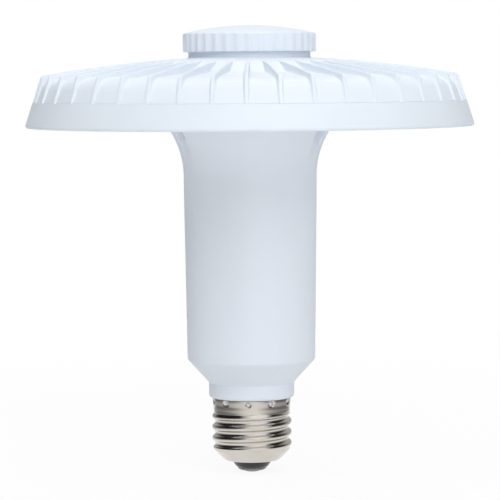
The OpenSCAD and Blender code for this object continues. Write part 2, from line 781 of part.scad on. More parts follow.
module transformer_winding() {
    reach = core_w / 2 - core_wall - slip_gap;
    h = core_h - 2 * core_wall - 2 * fit_gap;
    lift = core_lift + core_t / 2;
    foot_w = 2.4;
    foot_x = 3.6;
    wound_r = min(reach, lift - 2 * slip_gap);
    color("gold") on_board(0, transformer_z + core_wall + fit_gap) {
        difference() {
            union() {
                translate([0, 0, lift]) rotate([-90, 0, 0]) cylinder(r = wound_r, h = h);
                for (x = [-1, 1]) translate([x * foot_x - foot_w / 2, 0, 0])
                    cube([foot_w, h, lift - leg_r]);
            }
            translate([0, -cut, lift]) rotate([-90, 0, 0])
                cylinder(r = leg_r + fit_gap, h = h + 2 * cut);
        }
    }
}

module power_transistor() {
    leg_w = 0.8;
    leg_step = 1.5;
    leg_rise = 2;
    leg_h = 4;
    color("black") on_board(transistor_x, can_z) {
        translate([-transistor_t / 2, transistor_z, transistor_lift])
            cube([transistor_t, transistor_h, transistor_w]);
        for (i = [0:2]) translate([-leg_w / 2, leg_step * i, 0]) {
            cube([leg_w, leg_w, leg_h + leg_rise * i]);
            translate([0, 0, leg_h + leg_rise * i - leg_w])
                cube([leg_w, transistor_z + cut - leg_step * i, leg_w]);
        }
    }
}

module transistor_heat_plate() {
    end = 1;
    color("silver") on_board(plate_x, can_z)
        cube([heat_plate_t, transistor_h + transistor_z + end, transistor_w + transistor_lift]);
}

module output_capacitor() {
    color("midnightblue") on_board(output_can_x, top_row_z + output_can_r)
        rotate([0, 0, -90]) lying_can(output_can_r, output_can_h);
}

module control_chips() {
    chip_size = [5, 1.6, 4];
    left_x = -9;
    right_x = 4;
    step_z = driver_h * 0.12;
    color("black") translate([0, driver_back_y, driver_z + driver_h * 0.2])
        for (i = [0:5]) translate([i % 2 == 0 ? left_x : right_x, 0, i * step_z]) cube(chip_size);
}

module output_connector() {
    color("ivory") on_board(connector_x, top_row_z) cube([connector_w, connector_h, connector_t]);
}

// Quarter turn of wire from straight up to +Y, so that it ends on the driver board's face
module turn_back() {
    translate([0, wire_bend, 0]) rotate([90, 0, 90]) rotate([0, 0, 90])
        rotate_extrude(angle = 90) translate([wire_bend, 0]) circle(lead_r);
}

module live_lead() {
    color("black") {
        translate([0, 0, stem_top_z]) cylinder(r = lead_r, h = input_z - stem_top_z);
        translate([0, 0, input_z]) turn_back();
    }
}

module neutral_lead() {
    x = nipple_r - neck_wall - 2.2;
    low = thread_z2 - 3;
    reach = mean_r - thread_depth / 2 - shell_sheet - 2 * slip_gap;
    color("white") translate([-x, 0, 0]) {
        translate([0, 0, low]) cylinder(r = lead_r, h = input_z - low);
        translate([0, 0, input_z]) turn_back();
        translate([0, 0, low]) sphere(lead_r);
        translate([0, 0, low]) rotate([0, -90, 0]) cylinder(r = lead_r, h = reach - x);
    }
}

// The pair to the LED board leaves the neck through the slot under its lip
module led_leads() {
    x = connector_x + connector_w / 2;
    pair_y = driver_y - wire_bend;
    pad_r = board_in_r + 3;
    low = driver_z + top_row_z + connector_h;
    high = led_wire_z - wire_turn;
    color("red") for (y = [pair_y - 1, pair_y + 1]) translate([0, y, 0]) {
        translate([x, 0, low]) cylinder(r = lead_r, h = high - low);
        translate([x + wire_turn, 0, high]) rotate([90, 0, 0]) rotate([0, 0, 90])
            rotate_extrude(angle = 90) translate([wire_turn, 0]) circle(lead_r);
        translate([x + wire_turn, 0, led_wire_z]) rotate([0, 90, 0])
            cylinder(r = lead_r, h = pad_r - x - 2 * wire_turn);
        translate([pad_r - wire_turn, 0, led_wire_z + wire_turn]) rotate([90, 0, 0]) rotate([0, 0, -90])
            rotate_extrude(angle = 90) translate([wire_turn, 0]) circle(lead_r);
        translate([pad_r, 0, led_wire_z + wire_turn])
            cylinder(r = lead_r, h = board_z - led_wire_z - wire_turn);
    }
}

module port_leads() {
    low = driver_z + driver_h - 2 * wire_land;
    step = 1.1;
    color("blue") for (x = [-step, step]) translate([x, 0, low]) {
        mirror([0, 0, 1]) turn_back();
        cylinder(r = lead_r, h = plate_z - stem_drop - low);
    }
}

module port_socket() {
    color("dimgray") difference() {
        union() {
            translate([0, 0, well_z]) cylinder(r = socket_r, h = socket_h);
            translate([0, 0, plate_z - stem_drop])
                cylinder(r = socket_stem_r, h = well_floor_t + stem_drop + cut);
        }
        translate([0, 0, recess_z]) cylinder(r = recess_r, h = recess_d + cut);
    }
}

module port_pins() {
    color("gold") for (i = [0:pin_count - 1]) rotate([0, 0, 90 + i * 360 / pin_count])
        translate([pin_ring_r, 0, recess_z]) cylinder(r = pin_r, h = pin_h);
}

module cap_gasket() {
    color("dimgray") translate([0, 0, gasket_z]) ring(gasket_out_r, gasket_in_r, gasket_t);
}

module top_cap() {
    side_z = cap_z + cap_h;
    edge = 0.6;
    dome_r = cap_r - 2;
    steps = 5;
    color("white") difference() {
        rotate_extrude() polygon(concat([[0, cap_z], [cap_r - edge / 2, cap_z],
            [cap_r, cap_z + edge / 2], [cap_r, side_z - edge], [cap_r - edge, side_z]],
            [for (i = [0:steps]) let (r = mix(dome_r, 0, i / steps))
                [r, side_z + dome_h * (1 - pow(r / cap_r, 2))]]));
        translate([0, 0, cap_z - cut]) cylinder(r = cap_bore_r, h = cap_ceiling_z - cap_z + cut);
        for (i = [0:flute_count - 1]) rotate([0, 0, (i + 0.5) * 360 / flute_count])
            translate([cap_r + flute_r - flute_depth, 0, cap_z - cut])
                cylinder(r = flute_r, h = cap_h + cut);
    }
}

screw_shell();
base_insulator();
centre_contact();
neck_housing();
neck_clamp();
heat_sink();
rim_ring();
thermal_pad();
led_board();
led_chips();
diffuser();
board_screws();
neck_screws();
driver_board();
input_fuse();
surge_varistor();
film_capacitor();
bridge_rectifier();
input_choke();
choke_winding();
bulk_capacitor();
transformer_core();
transformer_winding();
power_transistor();
transistor_heat_plate();
output_capacitor();
control_chips();
output_connector();
live_lead();
neutral_lead();
led_leads();
port_leads();
port_hub();
port_socket();
port_pins();
cap_gasket();
top_cap();
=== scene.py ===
"""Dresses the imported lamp: cast disc with its fins, moulded neck, screw cap and nickel base."""

import math

import bmesh
import bpy
from bpy.props import FloatProperty, FloatVectorProperty, IntProperty, PointerProperty
from mathutils import Matrix, Vector


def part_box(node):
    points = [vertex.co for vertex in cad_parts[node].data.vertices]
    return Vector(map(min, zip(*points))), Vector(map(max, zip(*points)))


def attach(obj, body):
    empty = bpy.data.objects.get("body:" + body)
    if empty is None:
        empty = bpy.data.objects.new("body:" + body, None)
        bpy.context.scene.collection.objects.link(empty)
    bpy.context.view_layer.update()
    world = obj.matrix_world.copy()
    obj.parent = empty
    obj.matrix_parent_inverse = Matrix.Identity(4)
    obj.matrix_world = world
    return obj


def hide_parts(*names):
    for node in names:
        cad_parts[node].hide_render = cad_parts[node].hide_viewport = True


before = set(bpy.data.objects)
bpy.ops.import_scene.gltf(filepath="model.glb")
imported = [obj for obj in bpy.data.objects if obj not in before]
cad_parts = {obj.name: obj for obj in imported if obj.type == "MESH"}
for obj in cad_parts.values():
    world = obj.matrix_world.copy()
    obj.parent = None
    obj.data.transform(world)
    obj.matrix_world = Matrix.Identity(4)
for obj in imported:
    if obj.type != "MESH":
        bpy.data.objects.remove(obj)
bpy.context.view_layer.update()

bl_info = {
    "name": "Screw-base disc lamp",
    "version": (1, 0, 0),
    "blender": (4, 5, 0),
    "location": "3D View > Sidebar > Lamp",
    "description": "Builds the lamp's visible pieces around its packed solids",
    "category": "Add Mesh",
}

MM = 0.001
FULL_TURN = 2 * math.pi
# Turn of the side towards the camera
FRONT = -math.pi / 2
# Vertices nearer than this, in metres, are one
MERGE = 2e-7


def edge_of(node, axis, side):
    """A node's lowest (side 0) or highest (side 1) place along an axis, in millimetres"""
    return round(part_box(node)[side][axis] / MM, 4)


def size(label, text, default, low=0.0, high=500.0):
    """A length that is written here in millimetres and kept in metres"""
    return FloatProperty(name=label, description=text, default=default * MM, min=low * MM,
                         max=high * MM, unit="LENGTH", precision=5)


def share(label, text, default, low=0.0, high=1.0):
    return FloatProperty(name=label, description=text, default=default, min=low, max=high,
                         subtype="FACTOR")


def colour(label, text, default):
    return FloatVectorProperty(name=label, description=text, default=default, size=3,
                               min=0.0, max=1.0, subtype="COLOR")


def count(label, text, default, low, high):
    return IntProperty(name=label, description=text, default=default, min=low, max=high)


def power(label, text, watts):
    return FloatProperty(name=label, description=text, default=watts, min=0.0, max=100.0,
                         unit="POWER")


def angle(label, text, degrees):
    return FloatProperty(name=label, description=text, default=math.radians(degrees),
                         subtype="ANGLE")


class DiscSizes(bpy.types.PropertyGroup):
    rim_r: size("Rim radius", "Largest radius of the disc", edge_of("rim_ring", 0, 1))
    rim_z: size("Rim level", "Height of the rim ring's lower edge", edge_of("rim_ring", 2, 0))
    ledge_z: size("Ledge level", "Height at which the fins stand on the rim ring",
                  edge_of("heat_sink", 2, 0))
    plate_z: size("Plate level", "Height of the disc's flat underside",
                  edge_of("port_hub", 2, 0))
    shoulder_h: size("Shoulder height", "Height of the fins' steep part above the band", 8.6)
    lean: share("Lean", "How far band and fins lean in for each step up", 0.32)
    crown_r: size("Crown radius", "Radius of the curve over the fins' tops", 393, 100, 900)
    hub_r: size("Hub radius", "Radius of the plain hub inside the fins", 37)
    pocket_in: size("Inner pocket depth", "Depth of the pockets at the hub", 3)
    pocket_out: size("Outer pocket depth", "Depth of the pockets at the shoulder", 1.3)
    ledge_w: size("Ledge", "Step from the band in to the pockets", 0.8)
    rim_wall: size("Rim wall", "Wall of the rim around the diffuser", 2.4)
    skirt_t: size("Skirt", "Thickness of the disc's skirt around the rim ring's spigot", 1.3)
    fins: count("Fins", "Number of fins", 42, 12, 72)
    fin_t: size("Fin thickness", "Thickness of a fin at its top", 1.15)
    fin_turn: angle("First fin", "Turn of the first fin from the front", -0.8)


class HubSizes(bpy.types.PropertyGroup):
    flange_r: size("Flange radius", "Radius of the flange under the disc",
                   edge_of("port_hub", 0, 1))
    lip: size("Flange width", "Width of the flange outside the seam", 2)
    low_z: size("Hub level", "Height of the hub's underside", edge_of("port_hub", 2, 0))
    boss_z: size("Boss level", "Height of the boss's top", edge_of("port_hub", 2, 1))
    boss_r: size("Boss radius", "Radius of the boss between its thread's turns", 20.0)
    well_r: size("Well radius", "Radius of the well inside the boss", 17.5)
    well_z: size("Well floor", "Height of the well's floor", 129.6)
    pitch: size("Cap thread pitch", "Distance between the turns of the cap's thread", 2.5)
    ridge: size("Thread height", "Height of the cap thread's ridge", 0.32)


class NeckSizes(bpy.types.PropertyGroup):
    collar_r: size("Collar radius", "Radius of the collar above the screw base", 14.07)
    collar_z: size("Collar level", "Height of the collar's lower edge", 24.8)
    cone_z: size("Cone level", "Height at which the cone starts", 29.8)
    neck_z: size("Neck level", "Height at which the straight neck starts", 37.5)
    neck_r: size("Neck radius", "Radius of the neck at its lower end", 21.07)
    flare_z: size("Flare level", "Height at which the flare starts", 97.7)
    flare_neck_r: size("Flare start radius", "Radius of the neck under the flare", 21.87)
    flare_r: size("Flare curve", "Radius of the flare's hollow curve", 28.5)
    wall: size("Wall", "Wall of the neck", 1.8)
    windows: count("Windows", "Windows on each side of the flare", 4, 1, 6)
    window: angle("Window", "Width of each window", 12)


class CapSizes(bpy.types.PropertyGroup):
    cap_r: size("Cap radius", "Radius of the cap over its ribs", edge_of("top_cap", 0, 1))
    low_z: size("Cap level", "Height of the cap's lower edge", edge_of("top_cap", 2, 0))
    side_h: size("Side", "Height of the cap's fluted side", 6.2)
    top_z: size("Top", "Height of the top of the dome", edge_of("top_cap", 2, 1))
    bore_r: size("Bore", "Radius inside the cap", 20.5)
    pitch: size("Thread pitch", "Distance between the turns of the cap's thread", 2.5)
    groove: size("Thread depth", "Depth of the thread's groove in the bore", 0.28)
    flutes: count("Flutes", "Number of flutes around the cap", 36, 12, 60)
    flute_depth: size("Flute depth", "Depth of a flute", 0.45)


class BaseSizes(bpy.types.PropertyGroup):
    thread_r: size("Thread radius", "Radius over the thread's crests", 13.15)
    thread_depth: size("Thread depth", "Depth of the thread", 1.0)
    pitch: size("Pitch", "Distance between the thread's turns", 3.629)
    sheet: size("Sheet", "Thickness of the shell's sheet", 0.3)
    low_z: size("Shell level", "Height of the shell's lower rim", edge_of("screw_shell", 2, 0))
    top_z: size("Shell top", "Height of the shell's upper rim", edge_of("screw_shell", 2, 1))
    rim_r: size("Rim radius", "Radius of the shell's lower rim", 8.9)
    insulator_r: size("Insulator radius", "Radius of the insulator where the shell ends", 6.75)
    dents: count("Stake marks", "Punched marks around the skirt", 10, 0, 24)
    dent_turn: angle("First mark", "Turn of the first mark from the front", 5.5)
    dent_w: size("Mark width", "Half the width of a mark", 0.8)
    dent_h: size("Mark height", "Half the height of a mark", 0.7)
    dent_depth: size("Mark depth", "Depth of a mark", 1.1)
    contact_r: size("Contact radius", "Radius of the contact button",
                    edge_of("centre_contact", 0, 1))
    stem_r: size("Stem radius", "Radius of the contact's stem", 1.2)
    seat_z: size("Seat", "Height at which the contact lies against the insulator", 1.4)


class Finishes(bpy.types.PropertyGroup):
    paint: colour("Paint", "Powder coat of the disc", (0.81, 0.875, 0.95))
    rim_plastic: colour("Rim plastic", "Moulded plastic of the rim ring and the hub",
                        (0.78, 0.845, 0.92))
    plastic: colour("Neck plastic", "Moulded plastic of the neck", (0.78, 0.83, 0.905))
    cap_plastic: colour("Cap plastic", "Moulded plastic of the cap", (0.81, 0.865, 0.945))
    nickel: colour("Nickel", "Plating of the screw shell", (0.66, 0.63, 0.59))
    insulator: colour("Insulator", "Black body of the base", (0.006, 0.007, 0.009))
    opal: colour("Opal", "Milky plastic of the diffuser", (0.82, 0.83, 0.84))


class StageSetup(bpy.types.PropertyGroup):
    distance: size("Camera distance", "Distance of the camera from the lamp's axis", 857, 100, 3000)
    camera_z: size("Camera height", "Height of the camera", 133.3, 0, 2000)
    aim_z: size("Aim", "Height at which the camera looks", 73.4, 0, 1000)
    aim_x: size("Aim shift", "Sideways shift of the view", -0.23, -50, 50)
    roll: angle("Roll", "Turn of the camera about its view", 0.4)
    lens: FloatProperty(name="Lens", description="Focal length in millimetres", default=187.6,
                        min=10.0, max=500.0)
    ambient: share("Ambient", "Level of the light from all round", 0.25)
    bounce: share("Bounce", "Level of the light that the floor adds from below", 0.1)
    key: power("Key light", "Power of the main lamp, above the camera", 8.3)
    back: power("Back light", "Power of the lamp high up behind", 4.4)
    top: power("Top light", "Power of the lamp overhead", 4.8)
    side: power("Side light", "Power of the lamp on the right", 2.3)
    left: power("Left light", "Power of the lamp high up on the left", 3.6)
    low: power("Low light", "Power of the small lamp close to the floor in front", 0.6)
    wall_r: size("Card radius", "Radius of the ring of cards that only reflections show", 260)
    wall_h: size("Card height", "Height of the ring of cards", 420)
    card_r: size("Floor card", "Half the width of a card on the floor", 120)
    card_x: size("Floor card place", "Distance of a floor card's middle from the axis", 130)
    floor_r: size("Floor", "Half the width of the floor", 12000, 1000, 30000)


# Shader maths

class Field:
    """A socket that Python's operators work on: each adds one Math node"""

    def __init__(self, paint, socket):
        self.paint = paint
        self.socket = socket

    def math(self, operation, *others):
        return self.paint.node("ShaderNodeMath", {"operation": operation},
                               dict(enumerate((self,) + others)))

    def __add__(self, other):
        return self.math("ADD", other)

    def __sub__(self, other):
        return self.math("SUBTRACT", other)

    def __rsub__(self, other):
        return (self * -1.0) + other

    def __mul__(self, other):
        return self.math("MULTIPLY", other)

    __radd__ = __add__
    __rmul__ = __mul__


class NodeWork:
    """A node tree under construction, of a material or of the world"""

    def __init__(self, name, holder=None):
        self.material = holder or bpy.data.materials.new(name)
        self.material.use_nodes = True
        self.tree = self.material.node_tree
        self.tree.nodes.clear()

    def finish(self, shader):
        """Links a shader to the tree's output"""
        end = self.tree.nodes.new("ShaderNodeOutputWorld" if isinstance(
            self.material, bpy.types.World) else "ShaderNodeOutputMaterial")
        self.tree.links.new(shader.socket, end.inputs["Surface"])

    def join(self, socket, value):
        """Gives a socket a link where the value is a field, or else the value itself"""
        if isinstance(value, Field):
            self.tree.links.new(value.socket, socket)
        elif isinstance(value, (tuple, list)) and len(value) == 3 and socket.type == "RGBA":
            socket.default_value = (*value, 1.0)
        elif value is not None:
            socket.default_value = value

    def node(self, kind, settings=None, inputs=None, out=0):
        """Adds a node with its settings and inputs, and returns one of its outputs"""
        made = self.tree.nodes.new(kind)
        for name, value in (settings or {}).items():
            if name == "stops":
                ramp = made.color_ramp
                for k, (place, tone) in enumerate(value):
                    stop = ramp.elements[k] if k < 2 else ramp.elements.new(place)
                    stop.position = place
                    stop.color = (tone, tone, tone, 1.0)
            else:
                setattr(made, name, value)
        for name, value in (inputs or {}).items():
            self.join(made.inputs[name], value)
        return Field(self, made.outputs[out])

    def place(self):
        """Object coordinates, in metres on a piece whose object sits at the origin"""
        return self.node("ShaderNodeTexCoord", out="Object")

    def axis(self, vector, name):
        return self.node("ShaderNodeSeparateXYZ", inputs={0: vector}, out=name)

    def noise(self, vector, scale, detail=2.0, roughness=0.5, distortion=0.0):
        return self.node("ShaderNodeTexNoise", inputs={
            "Vector": vector, "Scale": scale, "Detail": detail, "Roughness": roughness,
            "Distortion": distortion})

    def stretched(self, vector, scale):
        return self.node("ShaderNodeVectorMath", {"operation": "MULTIPLY"},
                         {0: vector, 1: scale})

    def ramp(self, value, *stops):
        return self.node("ShaderNodeValToRGB", {"stops": stops}, {"Fac": value})

    def blend(self, factor, first, second):
        return self.node("ShaderNodeMix", {"data_type": "RGBA"},
                         {"Factor": factor, 6: first, 7: second}, out=2)

    def bump(self, height, strength, distance):
        return self.node("ShaderNodeBump", inputs={
            "Height": height, "Strength": strength, "Distance": distance * MM})


class Paint(NodeWork):
    """One of the lamp's own finishes"""

    def __init__(self, name, **uniform):
        super().__init__(name)
        self.surface = self.tree.nodes.new("ShaderNodeBsdfPrincipled")
        self.finish(Field(self, self.surface.outputs[0]))
        self.set(**uniform)

    def set(self, **values):
        """Gives the surface's sockets their values or links, named like base_color"""
        for name, value in values.items():
            self.join(self.surface.inputs[name.replace("_", " ").title().replace("Ior", "IOR")],
                      value)


def shade(tone, factor):
    return tuple(min(1.0, c * factor) for c in tone)


def powder_coat(name, tone, grain=900.0, roughness=0.5):
    """Sprayed coat: fine orange peel, faint clouds and fine specks in its relief"""
    paint = Paint(name)
    at = paint.place()
    cloud = paint.noise(at, 40.0, 3.0)
    peel = paint.noise(at, grain, 2.0)
    speck = paint.noise(at, grain * 3.5, 1.0)
    paint.set(base_color=paint.blend(paint.ramp(cloud, (0.35, 0.0), (0.7, 1.0)),
                                     shade(tone, 0.985), shade(tone, 1.012)),
              roughness=peel * 0.10 + (roughness - 0.05),
              specular_ior_level=0.32,
              normal=paint.bump(peel + speck * 0.4, 0.16, 0.05))
    return paint.material


# Stretch of a moulding's flow marks
FLOW_ALONG = (1.0, 1.0, 0.12)
NO_FLOW = (1.0, 1.0, 1.0)


def moulded(name, tone, roughness=0.42, flow=FLOW_ALONG, grain=2200.0):
    """Injection-moulded plastic: fine spark-erosion grain and faint flow marks"""
    paint = Paint(name)
    at = paint.place()
    flow_marks = paint.noise(paint.stretched(at, flow), 55.0, 3.0, 0.55)
    texture = paint.noise(at, grain, 2.0)
    paint.set(base_color=paint.blend(paint.ramp(flow_marks, (0.3, 0.0), (0.75, 1.0)),
                                     shade(tone, 0.985), shade(tone, 1.01)),
              roughness=texture * 0.08 + flow_marks * 0.05 + (roughness - 0.06),
              specular_ior_level=0.34,
              normal=paint.bump(texture + flow_marks * 2.0, 0.10, 0.03))
    return paint.material


def plated(name, tone, roughness=0.16, wear=0.10):
    """Nickel plate over drawn sheet: lines round the axis, cloudy patches and a soft tarnish"""
    paint = Paint(name, metallic=1.0)
    at = paint.place()
    lines = paint.noise(paint.stretched(at, (0.4, 0.4, 12.0)), 420.0, 3.0, 0.6)
    patches = paint.noise(at, 160.0, 4.0, 0.6, 0.4)
    tarnish = paint.ramp(paint.noise(at, 90.0, 5.0, 0.65), (0.42, 0.0), (0.72, 1.0))
    paint.set(base_color=paint.blend(tarnish * 0.55, tone,
                                     (tone[0] * 0.86, tone[1] * 0.82, tone[2] * 0.74)),
              roughness=lines * 0.10 + patches * wear + (roughness - 0.08),
              normal=paint.bump(lines + patches * 0.6, 0.07, 0.03))
    return paint.material


def glazed(name, tone, roughness=0.22):
    """Hard dark or pale body with a skin like glass over a fine grain"""
    paint = Paint(name, coat_roughness=0.12)
    at = paint.place()
    mottle = paint.noise(at, 500.0, 4.0, 0.6)
    paint.set(base_color=paint.blend(mottle, shade(tone, 0.8), shade(tone, 1.35)),
              roughness=mottle * 0.16 + (roughness - 0.06),
              coat_weight=0.12,
              normal=paint.bump(mottle, 0.12, 0.04))
    return paint.material


def plain_body(name, tone, roughness=0.5, metallic=0.0, grain=700.0, contrast=0.12, depth=0.04):
    """Finish of the inner pieces: a fine grain in colour, gloss and relief"""
    paint = Paint(name, metallic=metallic)
    texture = paint.noise(paint.place(), grain, 3.0, 0.6)
    paint.set(base_color=paint.blend(texture, shade(tone, 1.0 - contrast),
                                     shade(tone, 1.0 + contrast)),
              roughness=texture * 0.12 + (roughness - 0.06),
              normal=paint.bump(texture, 0.15, depth))
    return paint.material


def wound(name, tone, turn=0.45, roughness=0.3, axis="Z", metallic=0.0):
    """Wire or tape wound in turns along one axis, with painted shade darkening the grooves between
    the turns
    """
    paint = Paint(name, metallic=metallic)
    at = paint.place()
    groove = (paint.axis(at, axis) * (FULL_TURN / (turn * MM))).math("SINE") * 0.5 + 0.5
    fleck = paint.noise(at, 900.0, 2.0)
    # Painted shade: the colour falls to 0.55 of the tone in the grooves between the turns
    paint.set(base_color=paint.blend(groove * 0.8 + fleck * 0.2, shade(tone, 0.55), tone),
              roughness=groove * -0.12 + (roughness + 0.12),
              normal=paint.bump(groove, 0.6, 0.12))
    return paint.material


def circuit_board(name, tone, trace, pitch=2.2):
    """Solder mask over copper: a raised network of tracks in a slightly different shade"""
    paint = Paint(name, coat_roughness=0.15)
    at = paint.place()
    cells = paint.node("ShaderNodeTexVoronoi", {"feature": "DISTANCE_TO_EDGE"},
                       {"Vector": at, "Scale": 1000.0 / pitch, "Randomness": 0.75})
    tracks = paint.ramp(cells, (0.10, 1.0), (0.16, 0.0))
    paint.set(base_color=paint.blend(tracks, tone, trace),
              roughness=0.42 - tracks * 0.12,
              coat_weight=0.2,
              normal=paint.bump(tracks, 0.4, 0.05))
    return paint.material


def phosphor(name, tone):
    """Silicone with phosphor powder in a white package"""
    paint = Paint(name)
    grain = paint.noise(paint.place(), 6000.0, 3.0, 0.7)
    paint.set(base_color=paint.blend(grain, shade(tone, 0.82), tone),
              roughness=grain * 0.15 + 0.3,
              normal=paint.bump(grain, 0.2, 0.02))
    return paint.material


# Meshes

def rounded(corners):
    """Turns corners (r, z, radius, steps) into a path in millimetres with rounded corners"""
    path = []
    for k, (r, z, radius, steps) in enumerate(corners):
        here = Vector((r, z))
        if radius <= 0 or k == 0 or k == len(corners) - 1:
            path.append((r, z))
            continue
        back = (Vector(corners[k - 1][:2]) - here).normalized()
        ahead = (Vector(corners[k + 1][:2]) - here).normalized()
        half = math.acos(max(-1.0, min(1.0, back.dot(ahead)))) / 2
        middle = here + (back + ahead).normalized() * (radius / math.sin(half))
        start = here + back * (radius / math.tan(half)) - middle
        stop = here + ahead * (radius / math.tan(half)) - middle
        sweep = start.angle_signed(stop)
        for i in range(steps + 1):
            turned = start.copy()
            turned.rotate(Matrix.Rotation(-sweep * i / steps, 2))
            path.append(tuple(middle + turned))
    return path


def line(first, last, steps):
    """Points between two places, without the first one"""
    return [(first[0] + (last[0] - first[0]) * i / steps,
             first[1] + (last[1] - first[1]) * i / steps) for i in range(1, steps + 1)]


def at_turn(r, z, turn):
    """A place in metres from a radius, a height and a turn round the lamp's axis"""
    return Vector((r * math.cos(turn), r * math.sin(turn), z)) * MM


def soft_step(value):
    """0 up to 0, 1 from 1 on, with soft ends between them"""
    value = max(0.0, min(1.0, value))
    return value * value * (3 - 2 * value)


def carried_round(steps, section, closed=False):
    """Extrudes a section round the lamp's axis: section(k) gives step k's (r, z, turn) points"""
    bm = bmesh.new()
    station = bm.verts.layers.int.new("station")
    verts = []
    for i, point in enumerate(section(0)):
        vert = bm.verts.new(at_turn(*point))
        vert[station] = i
        verts.append(vert)
    pairs = list(zip(verts, verts[1:] + ([verts[0]] if closed else [])))
    edges = [bm.edges.new(pair) for pair in pairs]
    for k in range(1, steps):
        points = section(k)
        made = bmesh.ops.extrude_edge_only(bm, edges=edges)["geom"]
        fresh = {item for item in made if isinstance(item, bmesh.types.BMVert)}
        edges = [item for item in made if isinstance(item, bmesh.types.BMEdge)
                 and item.verts[0] in fresh and item.verts[1] in fresh]
        for vert in fresh:
            vert.co = at_turn(*points[vert[station]])
    return bm


def turned(path, steps=128, closed=True):
    """A body turned on the lamp's axis from a path of (r, z)"""
    bm = bmesh.new()
    verts = [bm.verts.new(at_turn(r, z, 0.0)) for r, z in path]
    edges = [bm.edges.new(pair) for pair in
             zip(verts, verts[1:] + ([verts[0]] if closed else []))]
    bmesh.ops.spin(bm, geom=verts + edges, cent=(0, 0, 0), axis=(0, 0, 1), angle=FULL_TURN,
                   steps=steps, use_merge=True)
    return bm


def hold(name, data, place=(0.0, 0.0, 0.0), turn=(0.0, 0.0, 0.0)):
    """Puts a mesh, a light or a camera in the scene"""
    made = bpy.data.objects.new(name, data)
    bpy.context.scene.collection.objects.link(made)
    made.location = place
    made.rotation_euler = turn
    return made


def piece(name, bm, material, body, slot, *nodes, sharp=40.0):
    """Closes the mesh, points its faces outwards and hangs it on its body"""
    bmesh.ops.remove_doubles(bm, verts=bm.verts, dist=MERGE)
    bmesh.ops.dissolve_degenerate(bm, edges=bm.edges, dist=MERGE)
    bmesh.ops.recalc_face_normals(bm, faces=bm.faces)
    mesh = bpy.data.meshes.new(name)
    bm.to_mesh(mesh)
    bm.free()
    mesh.shade_smooth()
    mesh.set_sharp_from_angle(angle=math.radians(sharp))
    mesh.materials.append(material)
    made = hold(name, mesh)
    normals = made.modifiers.new("Even shading", "WEIGHTED_NORMAL")
    normals.keep_sharp = True
    normals.weight = 80
    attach(made, body)
    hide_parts(*nodes)


def values(group):
    """A property group's lengths in millimetres, its counts and its angles as they are"""
    kept = {}
    for key in group.__annotations__:
        value = getattr(group, key)
        is_length = getattr(group.bl_rna.properties[key], "unit", "NONE") == "LENGTH"
        kept[key] = value / MM if is_length else value
    return type("Sizes", (), kept)


class DiscForm:
    """Places on the disc's outline that its pieces share"""

    corner = 0.8

    def __init__(self, s):
        self.sizes = s
        self.ledge_z = s.ledge_z
        self.ledge_r = s.rim_r - s.lean * (s.ledge_z - s.rim_z - self.corner)
        self.shoulder_z = s.ledge_z + s.shoulder_h
        self.shoulder_r = self.ledge_r - s.lean * s.shoulder_h
        self.crown_top = (self.shoulder_z + s.crown_r
                          - math.sqrt(s.crown_r ** 2 - self.shoulder_r ** 2))
        self.side_r = self.ledge_r - s.ledge_w
        self.wall_r = self.shoulder_r - s.ledge_w
        self.seat_r = s.rim_r - s.rim_wall
        wall_in, wall_drop = 0.9, 0.7
        self.wall_lean = ((self.side_r - self.wall_r - wall_in)
                          / (self.pocket(self.wall_r) - wall_drop - self.ledge_z))

    def crown(self, r):
        """Height of the curve over the fins' tops"""
        reach = self.sizes.crown_r
        return self.crown_top - reach + math.sqrt(reach * reach - r * r)

    def pocket(self, r):
        """Height of the pockets' floor"""
        s = self.sizes
        along = (r - s.hub_r) / (self.shoulder_r - s.hub_r)
        return self.crown(r) - s.pocket_in - (s.pocket_out - s.pocket_in) * along

    def skirt(self, z):
        """Radius inside the casting's skirt"""
        return self.side_r - self.sizes.skirt_t - self.wall_lean * (z - self.ledge_z)


